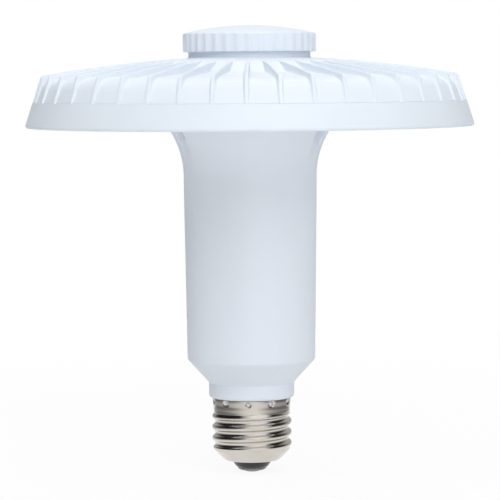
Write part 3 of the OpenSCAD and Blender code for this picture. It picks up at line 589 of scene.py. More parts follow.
def disc_mesh(s, seam_r, flange_r, lip_z):
    """The casting: one half of a fin's pitch is drawn, mirrored and turned round the axis"""
    half_pitch = math.pi / s.fins
    form = DiscForm(s)
    crown, pocket = form.crown, form.pocket
    ledge_r, ledge_z, wall_r = form.ledge_r, form.ledge_z, form.wall_r
    # The pockets' inner ends slope up, from outside the hub's edge to inside it
    floor_in = s.hub_r + 6.5
    slope_in = s.hub_r - 2.4
    bend_in = wall_r - 4.4
    pocket_bend, shoulder_bend, bend_steps = 5.6, 1.3, 8
    floor = rounded([
        (form.side_r - 0.5, ledge_z, 0, 0), (form.side_r, ledge_z, 0.12, 2),
        (wall_r + 0.25, pocket(wall_r), pocket_bend, bend_steps),
        (bend_in, pocket(bend_in), 0, 0)])
    top = [(ledge_r - 0.5, ledge_z)]
    top += line((ledge_r - 0.05, ledge_z), (ledge_r - 0.1, ledge_z + 0.16), 3)
    top += rounded([(ledge_r - 0.05, ledge_z, 0, 0),
                    (form.shoulder_r, form.shoulder_z, shoulder_bend, bend_steps),
                    (form.shoulder_r - 6, crown(form.shoulder_r - 6), 0, 0)])[1:-1]
    top.append((bend_in, crown(bend_in)))
    steps = 6
    for i in range(1, steps + 1):
        r = bend_in + (floor_in - bend_in) * i / steps
        floor.append((r, pocket(r)))
        top.append((r, crown(r)))
    hub_end = rounded([(floor_in + 1, pocket(floor_in + 1), 0, 0),
                       (floor_in - 0.4, pocket(floor_in - 0.4), 1.2, 3),
                       (slope_in, crown(slope_in), 1.6, 3),
                       (s.hub_r - 6, crown(s.hub_r - 6), 0, 0)])[1:-1]
    floor += hub_end
    top += [(r, crown(r)) for r, _ in hub_end]
    fin_end = len(floor)
    foot_r = form.skirt(ledge_z)
    tail = rounded([(s.hub_r - 4, crown(s.hub_r - 4), 0, 0), (seam_r, crown(seam_r), 0.25, 3),
                    (seam_r, lip_z, 0, 0), (flange_r, lip_z, 0, 0), (flange_r, s.plate_z, 0.2, 2),
                    (form.skirt(s.plate_z), s.plate_z, 0.4, 3), (foot_r, ledge_z, 0.15, 2),
                    (form.side_r - 0.6, ledge_z, 0, 0)])
    floor += tail
    top += tail
    half = s.fin_t / 2
    edge, fillet = 0.28, 0.55
    lean_out = 0.07
    # Steps across the fin: (kind, share of that kind)
    across = [("crest", 0.0), ("crest", 1.0), ("edge", 0.33), ("edge", 0.67), ("edge", 1.0),
              ("side", 1.0), ("foot", 0.33), ("foot", 0.67), ("foot", 1.0),
              ("floor", 0.4), ("floor", 1.0)]

    def section(k):
        kind, part = across[k]
        points = []
        for i, ((r0, z0), (r1, z1)) in enumerate(zip(top, floor)):
            depth = math.hypot(r1 - r0, z1 - z0)
            if i >= fin_end:
                points.append((r0, z0, half_pitch * k / (len(across) - 1)))
                continue
            bevel = min(edge, depth * 0.35)
            foot = min(fillet, depth * 0.4)
            draft = lean_out * depth
            down, off = {
                "crest": (0.0, (half - bevel) * part),
                "edge": (bevel * (1 - math.cos(part * math.pi / 2)),
                         half - bevel + bevel * math.sin(part * math.pi / 2)),
                "side": (depth - foot, half + draft),
                "foot": (depth - foot * (1 - math.sin(part * math.pi / 2)),
                         half + draft + foot * (1 - math.cos(part * math.pi / 2))),
                "floor": (depth, half + draft + foot),
            }[kind]
            share_down = down / depth if depth > 1e-6 else 0.0
            r = r0 + (r1 - r0) * share_down
            z = z0 + (z1 - z0) * share_down
            turn = math.asin(off / r)
            if kind == "floor":
                turn += (half_pitch - turn) * part
            points.append((r, z, turn))
        return points

    bm = carried_round(len(across), section, closed=True)
    bmesh.ops.mirror(bm, geom=bm.verts[:] + bm.edges[:] + bm.faces[:], axis="Y",
                     merge_dist=MERGE)
    bmesh.ops.spin(bm, geom=bm.verts[:] + bm.edges[:] + bm.faces[:], cent=(0, 0, 0),
                   axis=(0, 0, 1), angle=FULL_TURN * (s.fins - 1) / s.fins, steps=s.fins - 1,
                   use_duplicate=True)
    bmesh.ops.rotate(bm, cent=(0, 0, 0), verts=bm.verts,
                     matrix=Matrix.Rotation(FRONT + s.fin_turn, 3, "Z"))
    return bm


def rim_mesh(s):
    """The ring below the fins, with its spigot and the diffuser's seat"""
    form = DiscForm(s)
    corner = form.corner
    play = 0.2
    spigot_z = s.plate_z - play
    step_z = s.rim_z + 2.7
    step_r = form.seat_r - 1.7
    cavity_in = form.wall_r + s.lean * (form.shoulder_z - s.plate_z) - s.rim_wall
    inner_r = cavity_in + (step_r - cavity_in) * play / (s.plate_z - step_z)
    path = rounded([(inner_r, spigot_z, 0, 0), (step_r, step_z, 0.3, 2),
                    (form.seat_r, step_z, 0.2, 2), (form.seat_r, s.rim_z, 0.25, 2),
                    (s.rim_r - corner, s.rim_z, 0, 0)])
    sweep = math.pi / 2 + math.atan(s.lean)
    steps = 8
    for i in range(1, steps + 1):
        a = -math.pi / 2 + sweep * i / steps
        path.append((s.rim_r - corner + corner * math.cos(a),
                     s.rim_z + corner + corner * math.sin(a)))
    path += rounded([path[-1] + (0, 0), (form.ledge_r, form.ledge_z, 0.25, 3),
                     (form.skirt(form.ledge_z) - 0.1, form.ledge_z, 0.1, 2),
                     (form.skirt(spigot_z) - 0.1, spigot_z, 0.3, 2),
                     (inner_r, spigot_z, 0, 0)])[1:-1]
    return turned(path, 252)


def thread_wave(turn, z, pitch):
    """1 on the crest of the cap's right-hand thread, 0 between its turns"""
    return max(0.0, math.cos(turn - FULL_TURN * z / pitch)) ** 1.5


def ends_fade(z, low, high, width):
    """0 outside low to high, 1 inside, with soft ends"""
    return soft_step(min((z - low) / width, (high - z) / width))


def hub_mesh(s, form):
    """The port hub: its clamped flange, the deck, the threaded boss and the well"""
    total = 180
    seam_r = s.flange_r - s.lip
    foot_z = form.crown(s.boss_r)
    thread_low, thread_high = foot_z + 1.0, s.boss_z - 0.9
    hole_r = 3.7
    core_out = seam_r - 2.4
    core_in = s.boss_r + 0.2
    core_z = s.low_z + 5.0
    deck_r = 25.0
    low = rounded([(hole_r, s.low_z, 0, 0), (core_in, s.low_z, 0.2, 2), (core_in, core_z, 0.5, 3),
                   (core_out, core_z, 0.5, 3), (core_out, s.low_z, 0.2, 2),
                   (s.flange_r, s.low_z, 0.2, 2), (s.flange_r, s.low_z + 2.0, 0.2, 2),
                   (seam_r, s.low_z + 2.0, 0, 0), (seam_r, form.crown(seam_r), 0.25, 3),
                   (deck_r, form.crown(deck_r), 0, 0), (s.boss_r, foot_z, 0.6, 4),
                   (s.boss_r, thread_low, 0, 0)])
    side = line((s.boss_r, thread_low), (s.boss_r, thread_high), 36)
    high = rounded([(s.boss_r, thread_high, 0, 0), (s.boss_r, s.boss_z, 0.5, 4),
                    (s.well_r, s.boss_z, 0.4, 4), (s.well_r, s.well_z, 0.6, 4),
                    (hole_r, s.well_z, 0.3, 2), (hole_r, s.low_z, 0, 0)])[1:-1]
    path = low + side + high
    first, last = len(low), len(low) + len(side)

    def section(k):
        turn = FRONT + FULL_TURN * k / total
        points = []
        for i, (r, z) in enumerate(path):
            if first <= i < last:
                r += (s.ridge * thread_wave(turn, z, s.pitch)
                      * ends_fade(z, thread_low, thread_high, 0.9))
            points.append((r, z, turn))
        return points

    return carried_round(total + 1, section, closed=True)


def neck_mesh(s):
    """The moulding: full columns and window columns of the flare carried round the axis"""
    plate_z = 127.4
    stack_z = 118.4
    flare_end_z = 117.4
    ceiling_z = 113.1
    upper_levels = (113.8, 115.0, 116.6)
    step_out = 0.7
    floor_r = s.flare_neck_r + step_out
    bore_r, bore_end_z = s.neck_r - s.wall, 115.3
    mouth_r = 10.3
    spigot_r, spigot_z = 12.1, s.collar_z - 3.4

    def flare(z):
        return s.flare_neck_r + s.flare_r - math.sqrt(s.flare_r ** 2 - (z - s.flare_z) ** 2)

    stack_r = flare(stack_z) - 0.5
    lip_r = stack_r + 1.4
    lip_z = plate_z - 1.2
    low = rounded([(mouth_r, spigot_z, 0, 0), (spigot_r, spigot_z, 0.3, 2),
                   (spigot_r, s.collar_z, 0, 0), (s.collar_r, s.collar_z, 1.0, 5),
                   (s.collar_r, s.cone_z, 0.5, 4), (s.neck_r, s.neck_z, 1.6, 6),
                   (s.flare_neck_r, s.flare_z - 4, 0, 0)])
    flare_levels = [s.flare_z + (ceiling_z - s.flare_z) * (i / 12) for i in range(13)]
    full = [(flare(z), z) for z in flare_levels]
    run_out = s.flare_z + math.sqrt(s.flare_r ** 2 - (s.flare_r - step_out) ** 2)
    cut = [(min(flare(z), floor_r + 0.004 * (z - run_out)), z) for z in flare_levels]
    shelf = [flare(ceiling_z) * t + floor_r * (1 - t) for t in (0.5, 1.0)]
    full += [(flare(ceiling_z), ceiling_z)] * 2
    cut += [(r, ceiling_z) for r in shelf]
    high = [(flare(z), z) for z in upper_levels]
    high += rounded([(flare(flare_end_z), flare_end_z, 0, 0), (stack_r + 0.4, stack_z, 0.2, 2),
                     (stack_r, lip_z, 0.1, 2), (lip_r, lip_z, 0.2, 2),
                     (lip_r, plate_z, 0.2, 2), (stack_r - s.wall, plate_z, 0, 0),
                     (stack_r - s.wall, stack_z, 0, 0), (bore_r, bore_end_z, 0, 0),
                     (bore_r, s.neck_z + 0.8, 0.8, 3), (mouth_r, s.cone_z, 0.8, 3),
                     (mouth_r, spigot_z + 0.2, 0, 0)])
    full_path = low + full + high
    cut_path = low + cut + high
    pitch = s.window * 1.5
    edge, soft = s.window / 2, math.radians(0.35)
    widest_gap, fine_gap = math.radians(4.5), math.radians(3.0)
    # Columns round the axis: (turn, 0 on the full flare or 1 in a window)
    right = [(edge / 2, 1.0), (edge - soft / 2, 1.0), (edge, 0.25), (edge + soft, 0.0)]
    left = [(-across, depth) for across, depth in reversed(right)]
    turns = [(side + (i - (s.windows - 1) / 2) * pitch + across, depth)
             for side in (0.0, math.pi) for i in range(s.windows)
             for across, depth in left + [(0.0, 1.0)] + right]
    turns.append((turns[0][0] + FULL_TURN, turns[0][1]))
    between = []
    for (start, depth), (stop, next_depth) in zip(turns, turns[1:]):
        if stop - start > widest_gap:
            parts = math.ceil((stop - start) / fine_gap)
            between += [(start + (stop - start) * i / parts, min(depth, next_depth))
                        for i in range(1, parts)]
    turns = sorted(turns + between)

    def section(k):
        turn, depth = turns[k]
        return [(r0 + (r1 - r0) * depth, z0 + (z1 - z0) * depth, turn)
                for (r0, z0), (r1, z1) in zip(full_path, cut_path)]

    return carried_round(len(turns), section, closed=True)


def cap_mesh(s):
    """The screw cap: concave flutes that run out in the rounded top edge, and a low dome"""
    side_z = s.low_z + s.side_h
    per_flute = 10
    total = s.flutes * per_flute
    flute_r = 2.7
    middle = s.cap_r + flute_r - s.flute_depth
    dome_steps = 14
    thread_low, thread_high = s.low_z + 0.4, side_z - 1.2
    roof_z = side_z - 0.6
    outer = rounded([(s.bore_r, s.low_z, 0, 0), (s.cap_r - 0.02, s.low_z, 0.3, 3),
                     (s.cap_r, side_z, 0.75, 6), (0.0, side_z + 0.25, 0, 0)])[1:-1]
    reach = outer[-1][0]
    height = s.top_z - outer[-1][1]
    dome = []
    for i in range(1, dome_steps + 1):
        r = reach * (1 - i / dome_steps)
        dome.append((r, outer[-1][1] + height * (1 - (r / reach) ** 2)))
    inner = rounded([(0.0, roof_z, 0, 0), (s.bore_r, roof_z, 0.3, 2),
                     (s.bore_r, thread_high, 0, 0)])
    inner += line(inner[-1], (s.bore_r, thread_low), 28)
    inner += rounded([(s.bore_r, thread_low, 0, 0), (s.bore_r, s.low_z, 0.25, 2),
                      (s.cap_r, s.low_z, 0, 0)])[1:-1]
    path = outer + dome + inner
    last_side = len(outer)
    first_groove = len(outer) + len(dome)

    def section(k):
        turn = FRONT + FULL_TURN * k / total
        along = (k % per_flute) / per_flute - 0.5
        chord = along * FULL_TURN / s.flutes * s.cap_r
        bite = max(0.0, s.cap_r - (middle - math.sqrt(max(0.0, flute_r ** 2 - chord ** 2))))
        points = []
        for i, (r, z) in enumerate(path):
            shrink = 0.0
            if i < last_side:
                fade = max(0.0, min(1.0, (side_z + 0.1 - z) / 0.9))
                shrink = bite * math.sqrt(fade)
            elif i >= first_groove and r > s.bore_r - 0.01:
                shrink = -(s.groove * thread_wave(turn, z, s.pitch)
                           * ends_fade(z, thread_low, thread_high, 0.8))
            points.append((max(0.0, r - shrink), z, turn))
        return points

    return carried_round(total + 1, section, closed=True)


def shell_mesh(s):
    """The rolled shell: a round thread, a rounded end and punched marks round the skirt"""
    total = 360
    end_h, skirt_h = 4.2, 4.3
    thread_low, thread_high = s.low_z + end_h, s.top_z - skirt_h
    thread_h = thread_high - thread_low
    mean = s.thread_r - s.thread_depth / 2
    skirt = s.thread_r - 0.4
    round_h = 3.6
    flare, flare_h = 0.25, 2.5
    lip_r, lip_z = s.insulator_r + 0.1, s.low_z + 0.2
    dent_z = s.top_z - 1.05
    first_crest = s.low_z - 1.8
    # Crests and valleys are equal arcs, which make arc_depth at a medium base's pitch
    arc_r, arc_depth = 1.191, 0.84
    edge_rise = math.sqrt(arc_r ** 2 - (s.pitch / 4) ** 2)
    end_rows, thread_rows, skirt_rows = 12, 54, 18
    levels = [s.low_z + end_h * (i / end_rows) ** 1.5 for i in range(end_rows)]
    levels += [thread_low + thread_h * i / thread_rows for i in range(thread_rows + 1)]
    levels += [thread_high + skirt_h * i / skirt_rows for i in range(1, skirt_rows + 1)]

    def thread(z, turn):
        from_crest = ((z - first_crest) / s.pitch - turn / FULL_TURN + 0.5) % 1 - 0.5
        near = min(abs(from_crest), 0.5 - abs(from_crest))
        wave = math.sqrt(arc_r ** 2 - (near * s.pitch) ** 2) - edge_rise
        wave = math.copysign(wave, 0.25 - abs(from_crest)) * s.thread_depth / arc_depth
        return wave * soft_step((z - thread_low + 1) / 2) * soft_step((thread_high - z) / 2)

    def dent(z, turn):
        step = FULL_TURN / s.dents
        near = (turn - FRONT + s.dent_turn + step / 2) % step - step / 2
        across = near * skirt / s.dent_w
        along = (z - dent_z) / s.dent_h
        return s.dent_depth * math.exp(-(across * across + along * along) ** 1.4)

    def outside(z, turn):
        rise = max(0.0, min(1.0, (z - s.low_z) / round_h)) ** 0.85
        r = s.rim_r + (mean - s.rim_r) * rise
        r += (skirt - mean) * soft_step((z - thread_high) / 1.8)
        r += flare * soft_step((z - s.top_z + flare_h) / flare_h) + thread(z, turn)
        return r - dent(z, turn) if s.dents else r

    def section(k):
        turn = FRONT + FULL_TURN * k / total
        lip = [(lip_r, lip_z, turn), (s.rim_r - 0.5, s.low_z, turn)]
        out = [(outside(z, turn), z, turn) for z in levels]
        rim = [(out[-1][0] - s.sheet / 2, levels[-1], turn)]
        back = [(r - s.sheet, max(z, s.low_z + s.sheet), turn) for r, z, turn in reversed(out)]
        inner = [(lip_r, lip_z + s.sheet, turn)]
        return lip + out + rim + back + inner

    return carried_round(total + 1, section, closed=True)


def insulator_mesh(s):
    """Black body: a dish round the contact, and a flange inside the shell's end"""
    rim, flange = s.insulator_r, s.insulator_r + 2.3
    bore = s.stem_r + 0.05
    return turned(rounded([
        (bore, s.seat_z, 0, 0), (s.contact_r + 0.05, s.seat_z, 0.15, 2), (5.55, 2.05, 0.5, 3),
        (6.3, 3.2, 0.7, 3), (rim, s.low_z - 0.1, 0.15, 2), (rim, s.low_z + 0.6, 0, 0),
        (flange, s.low_z + 2.5, 0.3, 2), (flange, s.low_z + 3.2, 0.3, 2),
        (bore, s.low_z + 3.2, 0, 0)]), 96)


def contact_mesh(s):
    """Pressed contact with a drop of solder on its tip, and its stem"""
    stem_z = s.low_z + 3.8
    return turned(rounded([
        (0.0, 0.0, 0, 0), (1.9, 0.02, 0.9, 4), (2.5, 0.22, 0.5, 3),
        (s.contact_r - 0.5, 0.72, 1.2, 5), (s.contact_r, 1.2, 0.25, 4),
        (s.contact_r - 0.12, s.seat_z, 0.1, 2), (s.stem_r, s.seat_z, 0, 0),
        (s.stem_r, stem_z, 0.2, 2), (0.0, stem_z, 0, 0)]), 96, closed=False)


def ring_box(node):
    """A ring's outer radius and its lowest and highest places, in millimetres"""
    return edge_of(node, 0, 1), edge_of(node, 2, 0), edge_of(node, 2, 1)


def seal_mesh():
    """Seal ring with rounded edges"""
    out, low, high = ring_box("cap_gasket")
    inner = 17.8
    middle, corner = (inner + out) / 2, 0.32
    return turned(rounded([
        (middle, low, 0, 0), (out, low, corner, 4), (out, high, corner, 4),
        (inner, high, corner, 4), (inner, low, corner, 4), (middle - 0.2, low, 0, 0)]), 128)


def diffuser_mesh():
    """Opal ring with an upstanding edge in the rim's seat and a lip round the neck"""
    out, low, high = ring_box("diffuser")
    inner, middle, sheet = 29.0, 50.0, 1.7
    return turned(rounded([
        (middle, low, 0, 0), (out, low, 0.5, 4), (out, high, 0.2, 2),
        (out - sheet, high, 0.2, 2), (out - sheet - 0.6, low + sheet, 0.5, 3),
        (inner, low + sheet, 0.3, 3), (inner, low, 0.4, 3), (middle - 1.0, low, 0, 0)]), 192)


# Operators

class LampOperator(bpy.types.Operator):
    """What the lamp's operators share"""
    bl_options = {"REGISTER", "UNDO"}

    def sizes(self, context, name):
        return values(getattr(context.scene, name))

    def tone(self, context, name):
        return tuple(getattr(context.scene.lamp_finishes, name))


class LAMP_OT_disc(LampOperator):
    """Casts the finned disc and moulds the rim ring and the port hub that fit in it"""
    bl_idname = "lamp.disc"
    bl_label = "Finned disc"

    def execute(self, context):
        sizes = self.sizes(context, "lamp_disc")
        hub = self.sizes(context, "lamp_hub")
        paint = powder_coat("Powder coat", self.tone(context, "paint"))
        play, flange_t = 0.1, 2.0
        casting = disc_mesh(sizes, hub.flange_r - hub.lip + play, hub.flange_r + play,
                            hub.low_z + flange_t)
        piece("finned_disc", casting, paint, "lamp", "white_paint", "heat_sink")
        ring = moulded("Rim plastic", self.tone(context, "rim_plastic"), 0.46, NO_FLOW)
        piece("rim_band", rim_mesh(sizes), ring, "lamp", "rim_plastic", "rim_ring")
        piece("hub", hub_mesh(hub, DiscForm(sizes)), ring, "lamp", "hub_plastic", "port_hub")
        return {"FINISHED"}


class LAMP_OT_neck(LampOperator):
    """Moulds the neck with its collar, cone, flare and windows"""
    bl_idname = "lamp.neck"
    bl_label = "Neck"

    def execute(self, context):
        plastic = moulded("Neck plastic", self.tone(context, "plastic"))
        piece("neck", neck_mesh(self.sizes(context, "lamp_neck")), plastic,
              "lamp", "neck_plastic", "neck_housing")
        return {"FINISHED"}


class LAMP_OT_cap(LampOperator):
    """Moulds the fluted screw cap and the seal ring under it"""
    bl_idname = "lamp.cap"
    bl_label = "Cap and seal"

    def execute(self, context):
        plastic = moulded("Cap plastic", self.tone(context, "cap_plastic"), 0.5, NO_FLOW)
        piece("fluted_cap", cap_mesh(self.sizes(context, "lamp_cap")), plastic,
              "cap", "cap_plastic", "top_cap", sharp=30.0)
        rubber = plain_body("Seal rubber", (0.03, 0.03, 0.032), 0.6, grain=1800.0)
        piece("seal_ring", seal_mesh(), rubber, "seal", "seal_rubber", "cap_gasket")
        return {"FINISHED"}


class LAMP_OT_base(LampOperator):
    """Rolls the screw shell and fits its insulator and contact"""
    bl_idname = "lamp.base"
    bl_label = "Screw base"

    def execute(self, context):
        sizes = self.sizes(context, "lamp_base")
        nickel = self.tone(context, "nickel")
        piece("rolled_shell", shell_mesh(sizes), plated("Nickel plate", nickel),
              "lamp", "nickel", "screw_shell", sharp=60.0)
        piece("base_body", insulator_mesh(sizes),
              glazed("Black insulator", self.tone(context, "insulator")),
              "lamp", "black_insulator", "base_insulator")
        piece("contact_button", contact_mesh(sizes),
              plated("Contact metal", shade(nickel, 0.4), 0.42),
              "lamp", "contact_metal", "centre_contact")
        return {"FINISHED"}


class LAMP_OT_diffuser(LampOperator):
    """Moulds the opal ring under the disc"""
    bl_idname = "lamp.diffuser"
    bl_label = "Diffuser"

    def execute(self, context):
        opal = moulded("Opal plastic", self.tone(context, "opal"), 0.45, NO_FLOW, 3200.0)
        piece("opal_ring", diffuser_mesh(), opal, "lamp", "opal_plastic", "diffuser")
        return {"FINISHED"}


INNER_FINISHES = {
    "thermal_pad": lambda: plain_body("Thermal pad", (0.42, 0.43, 0.45), 0.8, grain=1500.0),
    "led_board": lambda: circuit_board("White board", (0.80, 0.80, 0.78), (0.72, 0.73, 0.74), 6.0),
    "led_chips": lambda: phosphor("Phosphor", (0.85, 0.70, 0.16)),
    "board_screws": lambda: plain_body("Zinc plate", (0.62, 0.63, 0.66), 0.3, 1.0),
    "driver_board": lambda: circuit_board("Green board", (0.01, 0.10, 0.04), (0.03, 0.19, 0.08)),
    "input_fuse": lambda: plain_body("Brown moulding", (0.14, 0.06, 0.03), 0.4),
    "surge_varistor": lambda: plain_body("Blue epoxy", (0.02, 0.09, 0.33), 0.28, contrast=0.2),
    "film_capacitor": lambda: plain_body("Yellow case", (0.62, 0.38, 0.04), 0.35),
    "bridge_rectifier": lambda: plain_body("Black moulding", (0.02, 0.02, 0.022), 0.45),
    "input_choke": lambda: plain_body("Ferrite", (0.06, 0.06, 0.065), 0.6, grain=1200.0,
                                      contrast=0.3, depth=0.1),
    "choke_winding": lambda: wound("Copper turns", (0.72, 0.33, 0.15), 0.5, 0.25, "Y", 1.0),
    "bulk_capacitor": lambda: plain_body("Can sleeve", (0.015, 0.02, 0.09), 0.25),
    "transformer_winding": lambda: wound("Yellow tape", (0.78, 0.55, 0.06), 3.2, 0.35, "Z"),
    "transistor_heat_plate": lambda: plain_body("Plate aluminium", (0.66, 0.67, 0.68), 0.32, 1.0),
    "output_connector": lambda: plain_body("Ivory nylon", (0.74, 0.70, 0.58), 0.4),
    "live_lead": lambda: plain_body("Black wire", (0.02, 0.02, 0.02), 0.4),
    "neutral_lead": lambda: plain_body("White wire", (0.75, 0.75, 0.73), 0.4),
    "led_leads": lambda: plain_body("Red wire", (0.50, 0.03, 0.02), 0.4),
    "port_leads": lambda: plain_body("Blue wire", (0.03, 0.08, 0.38), 0.4),
    "port_socket": lambda: plain_body("Socket body", (0.03, 0.03, 0.032), 0.38, grain=1600.0),
    "port_pins": lambda: plain_body("Gold plate", (0.85, 0.60, 0.22), 0.2, 1.0),
}
# Nodes that take the finish made for another node
SHARED_FINISHES = {
    "neck_screws": "board_screws", "neck_clamp": "board_screws",
    "transformer_core": "input_choke",
    "power_transistor": "bridge_rectifier", "control_chips": "bridge_rectifier",
    "output_capacitor": "bulk_capacitor",
}


class LAMP_OT_inner(LampOperator):
    """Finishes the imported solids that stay: light source, driver, leads and socket"""
    bl_idname = "lamp.inner"
    bl_label = "Inner pieces"

    def execute(self, context):
        made = {node: build() for node, build in INNER_FINISHES.items()}
        for node, source in SHARED_FINISHES.items():
            made[node] = made[source]
        for node, finish in made.items():
            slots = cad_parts[node].data.materials
            slots.clear()
            slots.append(finish)
        return {"FINISHED"}


# Stage

# Name, width and place of each light, in metres
LIGHTS = (
    ("key", 0.9, (0.2, -1.1, 1.0)),
    ("back", 1.0, (-0.25, 1.15, 0.85)),
    ("top", 1.0, (0.1, 0.1, 1.3)),
    ("side", 0.9, (1.2, -0.2, 0.35)),
    ("left", 0.9, (-0.9, -0.3, 1.1)),
    ("low", 0.24, (0.1, -0.9, 0.13)),
)
LIT_PLACE = Vector((0.0, 0.0, 0.08))


def stage_piece(name, bm, material):
    """A thing of the studio's own, which isn't part of the lamp"""
    mesh = bpy.data.meshes.new(name)
    bm.to_mesh(mesh)
    bm.free()
    mesh.materials.append(material)
    made = hold(name, mesh)
    return made


def seen_mask(paint):
    """1 for camera, glossy and transmission rays"""
    rays = [paint.node("ShaderNodeLightPath", out=name)
            for name in ("Is Camera Ray", "Is Glossy Ray", "Is Transmission Ray")]
    return rays[0].math("MAXIMUM", rays[1]).math("MAXIMUM", rays[2])


def glow(paint, level, tone=(1.0, 1.0, 1.0)):
    return paint.node("ShaderNodeEmission", inputs={"Color": tone, "Strength": level})


def pale_floor(bounce):
    """White as far as the eye goes, with the object's shadow in the part around it"""
    paint = NodeWork("Pale floor")
    far = paint.node("ShaderNodeVectorMath", {"operation": "LENGTH"}, {0: paint.place()},
                     out="Value")
    fade = paint.node("ShaderNodeMapRange", {"interpolation_type": "SMOOTHSTEP"},
                      {"Value": far, "From Min": 0.12, "From Max": 0.5,
                       "To Min": 0.9, "To Max": 1.0})
    matt = paint.node("ShaderNodeBsdfDiffuse", inputs={"Color": (0.84, 0.84, 0.84)})
    lit = paint.node("ShaderNodeAddShader", inputs={0: matt, 1: glow(paint, bounce)})
    paint.finish(paint.node("ShaderNodeMixShader",
                            inputs={0: seen_mask(paint) * fade, 1: lit, 2: glow(paint, 1.0)}))
    return paint.material


def card_ring():
    """Studio cards round the lamp: grey low down with bright gaps beside the camera, black
    above on both sides, with a white one over the camera's right"""
    paint = NodeWork("Studio cards")
    at = paint.place()
    aside = (paint.axis(at, "X") * -1.0).math("ARCTAN2", paint.axis(at, "Y") * -1.0)
    share_round = aside * (0.5 / math.pi) + 0.5
    low = paint.ramp(share_round, (0.0, 0.40), (0.15, 0.60), (0.27, 0.30), (0.36, 0.34),
                     (0.40, 1.0), (0.46, 1.0), (0.49, 0.36), (0.51, 0.36), (0.54, 0.92),
                     (0.59, 0.92), (0.64, 0.46), (0.73, 0.34), (0.85, 0.40), (1.0, 0.40))
    high = paint.ramp(share_round, (0.0, 0.50), (0.12, 0.50), (0.20, 0.015), (0.33, 0.015),
                      (0.38, 1.0), (0.50, 1.0), (0.55, 0.70), (0.60, 0.015), (0.84, 0.015),
                      (0.92, 0.50), (1.0, 0.50))
    rise = paint.node("ShaderNodeMapRange", {"interpolation_type": "SMOOTHSTEP"},
                      {"Value": paint.axis(at, "Z"), "From Min": 0.03, "From Max": 0.06})
    level = paint.node("ShaderNodeMix", {"data_type": "FLOAT"}, {0: rise, 2: low, 3: high})
    paint.finish(glow(paint, level))
    return paint.material


def card_floor():
    """Dark cards on the floor at the lamp's left and right, that start softly beside it"""
    paint = NodeWork("Floor cards")
    aside = paint.axis(paint.place(), "X").math("ABSOLUTE")
    level = paint.node("ShaderNodeMapRange", {"interpolation_type": "SMOOTHSTEP"},
                       {"Value": aside, "From Min": 0.01, "From Max": 0.11,
                        "To Min": 1.0, "To Max": 0.16})
    paint.finish(glow(paint, level))
    return paint.material


def add_cards(setup):
    """A ring of cards and two more on the floor, which only reflections show"""
    ring_lift, flat_lift, flat_y = 0.002, 0.003, -0.02
    ring = bmesh.new()
    bmesh.ops.create_cone(ring, cap_ends=False, segments=64, radius1=setup.wall_r,
                          radius2=setup.wall_r, depth=setup.wall_h)
    bmesh.ops.translate(ring, vec=(0.0, 0.0, setup.wall_h / 2 + ring_lift), verts=ring.verts)
    cards = [stage_piece("cards", ring, card_ring())]
    for side in (-1, 1):
        flat = bmesh.new()
        bmesh.ops.create_grid(flat, x_segments=1, y_segments=1, size=setup.card_r)
        bmesh.ops.translate(flat, vec=(side * setup.card_x, flat_y, flat_lift),
                            verts=flat.verts)
        cards.append(stage_piece("floor_card", flat, card_floor()))
    for card in cards:
        card.visible_camera = card.visible_diffuse = card.visible_shadow = False
        card.visible_transmission = False


def set_air(scene, ambient):
    """White all round, of which matt surfaces take up the ambient share"""
    scene.world = bpy.data.worlds.new("Studio")
    air = NodeWork("Air", scene.world)
    level = seen_mask(air) * (1.0 - ambient) + ambient
    air.finish(air.node("ShaderNodeBackground",
                        inputs={"Strength": level, "Color": (1.0, 1.0, 1.0)}))


def add_lights(setup):
    """Square lights, each turned towards the middle of the lamp"""
    for name, width, place in LIGHTS:
        lamp = bpy.data.lights.new(name, "AREA")
        lamp.energy = getattr(setup, name)
        lamp.size = width
        lamp.shape = "SQUARE"
        aim = LIT_PLACE - Vector(place)
        holder = hold(name, lamp, place, aim.to_track_quat("-Z", "Y").to_euler())
        # The fill lamps would smear the dark bands in the nickel
        holder.visible_glossy = name not in ("left", "side")


def set_camera(scene, setup):
    """Looks at the lamp from the front and slightly above, a touch rolled"""
    eye = bpy.data.cameras.new("camera")
    eye.lens = setup.lens
    eye.sensor_width = 36.0
    eye.clip_start = 0.05
    eye.clip_end = 60.0
    place = Vector((setup.aim_x, -setup.distance, setup.camera_z))
    aim = Vector((setup.aim_x, 0.0, setup.aim_z)) - place
    look = aim.to_track_quat("-Z", "Y").to_matrix() @ Matrix.Rotation(-setup.roll, 3, "Z")
    scene.camera = hold("camera", eye, place, look.to_euler())


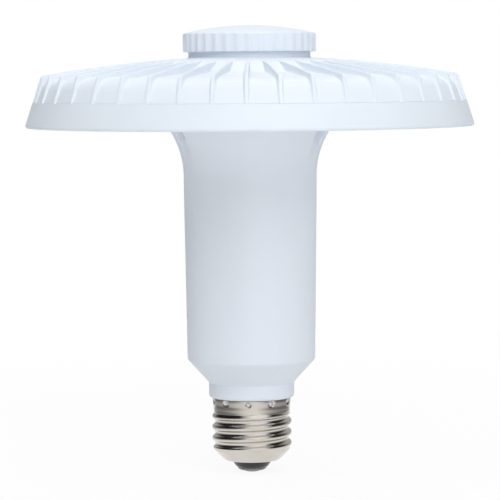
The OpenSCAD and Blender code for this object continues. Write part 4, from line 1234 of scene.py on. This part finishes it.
class LAMP_OT_stage(LampOperator):
    """Sets up the floor, the cards, the light and the camera"""
    bl_idname = "lamp.stage"
    bl_label = "Stage"

    def execute(self, context):
        scene = context.scene
        setup = scene.lamp_stage
        ground = bmesh.new()
        bmesh.ops.create_grid(ground, x_segments=1, y_segments=1, size=setup.floor_r)
        stage_piece("floor", ground, pale_floor(setup.bounce))
        add_cards(setup)
        set_air(scene, setup.ambient)
        add_lights(setup)
        set_camera(scene, setup)
        scene.view_settings.view_transform = "Standard"
        return {"FINISHED"}


class LAMP_PT_panel(bpy.types.Panel):
    """Lists the lamp's pieces and their sizes"""
    bl_idname = "LAMP_PT_panel"
    bl_label = "Lamp"
    bl_space_type = "VIEW_3D"
    bl_region_type = "UI"
    bl_category = "Lamp"

    def draw(self, context):
        for step in STEPS:
            self.layout.operator(step.bl_idname)
        for name, kind in GROUPS.items():
            box = self.layout.box()
            for key in kind.__annotations__:
                box.prop(getattr(context.scene, name), key)


GROUPS = {
    "lamp_disc": DiscSizes, "lamp_hub": HubSizes, "lamp_neck": NeckSizes,
    "lamp_cap": CapSizes, "lamp_base": BaseSizes, "lamp_finishes": Finishes,
    "lamp_stage": StageSetup,
}
STEPS = (LAMP_OT_disc, LAMP_OT_neck, LAMP_OT_cap, LAMP_OT_base, LAMP_OT_diffuser,
         LAMP_OT_inner, LAMP_OT_stage)


def register():
    for kind in (*GROUPS.values(), *STEPS, LAMP_PT_panel):
        bpy.utils.register_class(kind)
    for name, kind in GROUPS.items():
        setattr(bpy.types.Scene, name, PointerProperty(type=kind))


def unregister():
    for name in GROUPS:
        delattr(bpy.types.Scene, name)
    for kind in (LAMP_PT_panel, *reversed(STEPS), *reversed(tuple(GROUPS.values()))):
        bpy.utils.unregister_class(kind)


def main():
    register()
    bpy.ops.lamp.disc()
    bpy.ops.lamp.neck()
    bpy.ops.lamp.cap()
    bpy.ops.lamp.base()
    bpy.ops.lamp.diffuser()
    bpy.ops.lamp.inner()
    bpy.ops.lamp.stage()


if __name__ == "__main__":
    main()
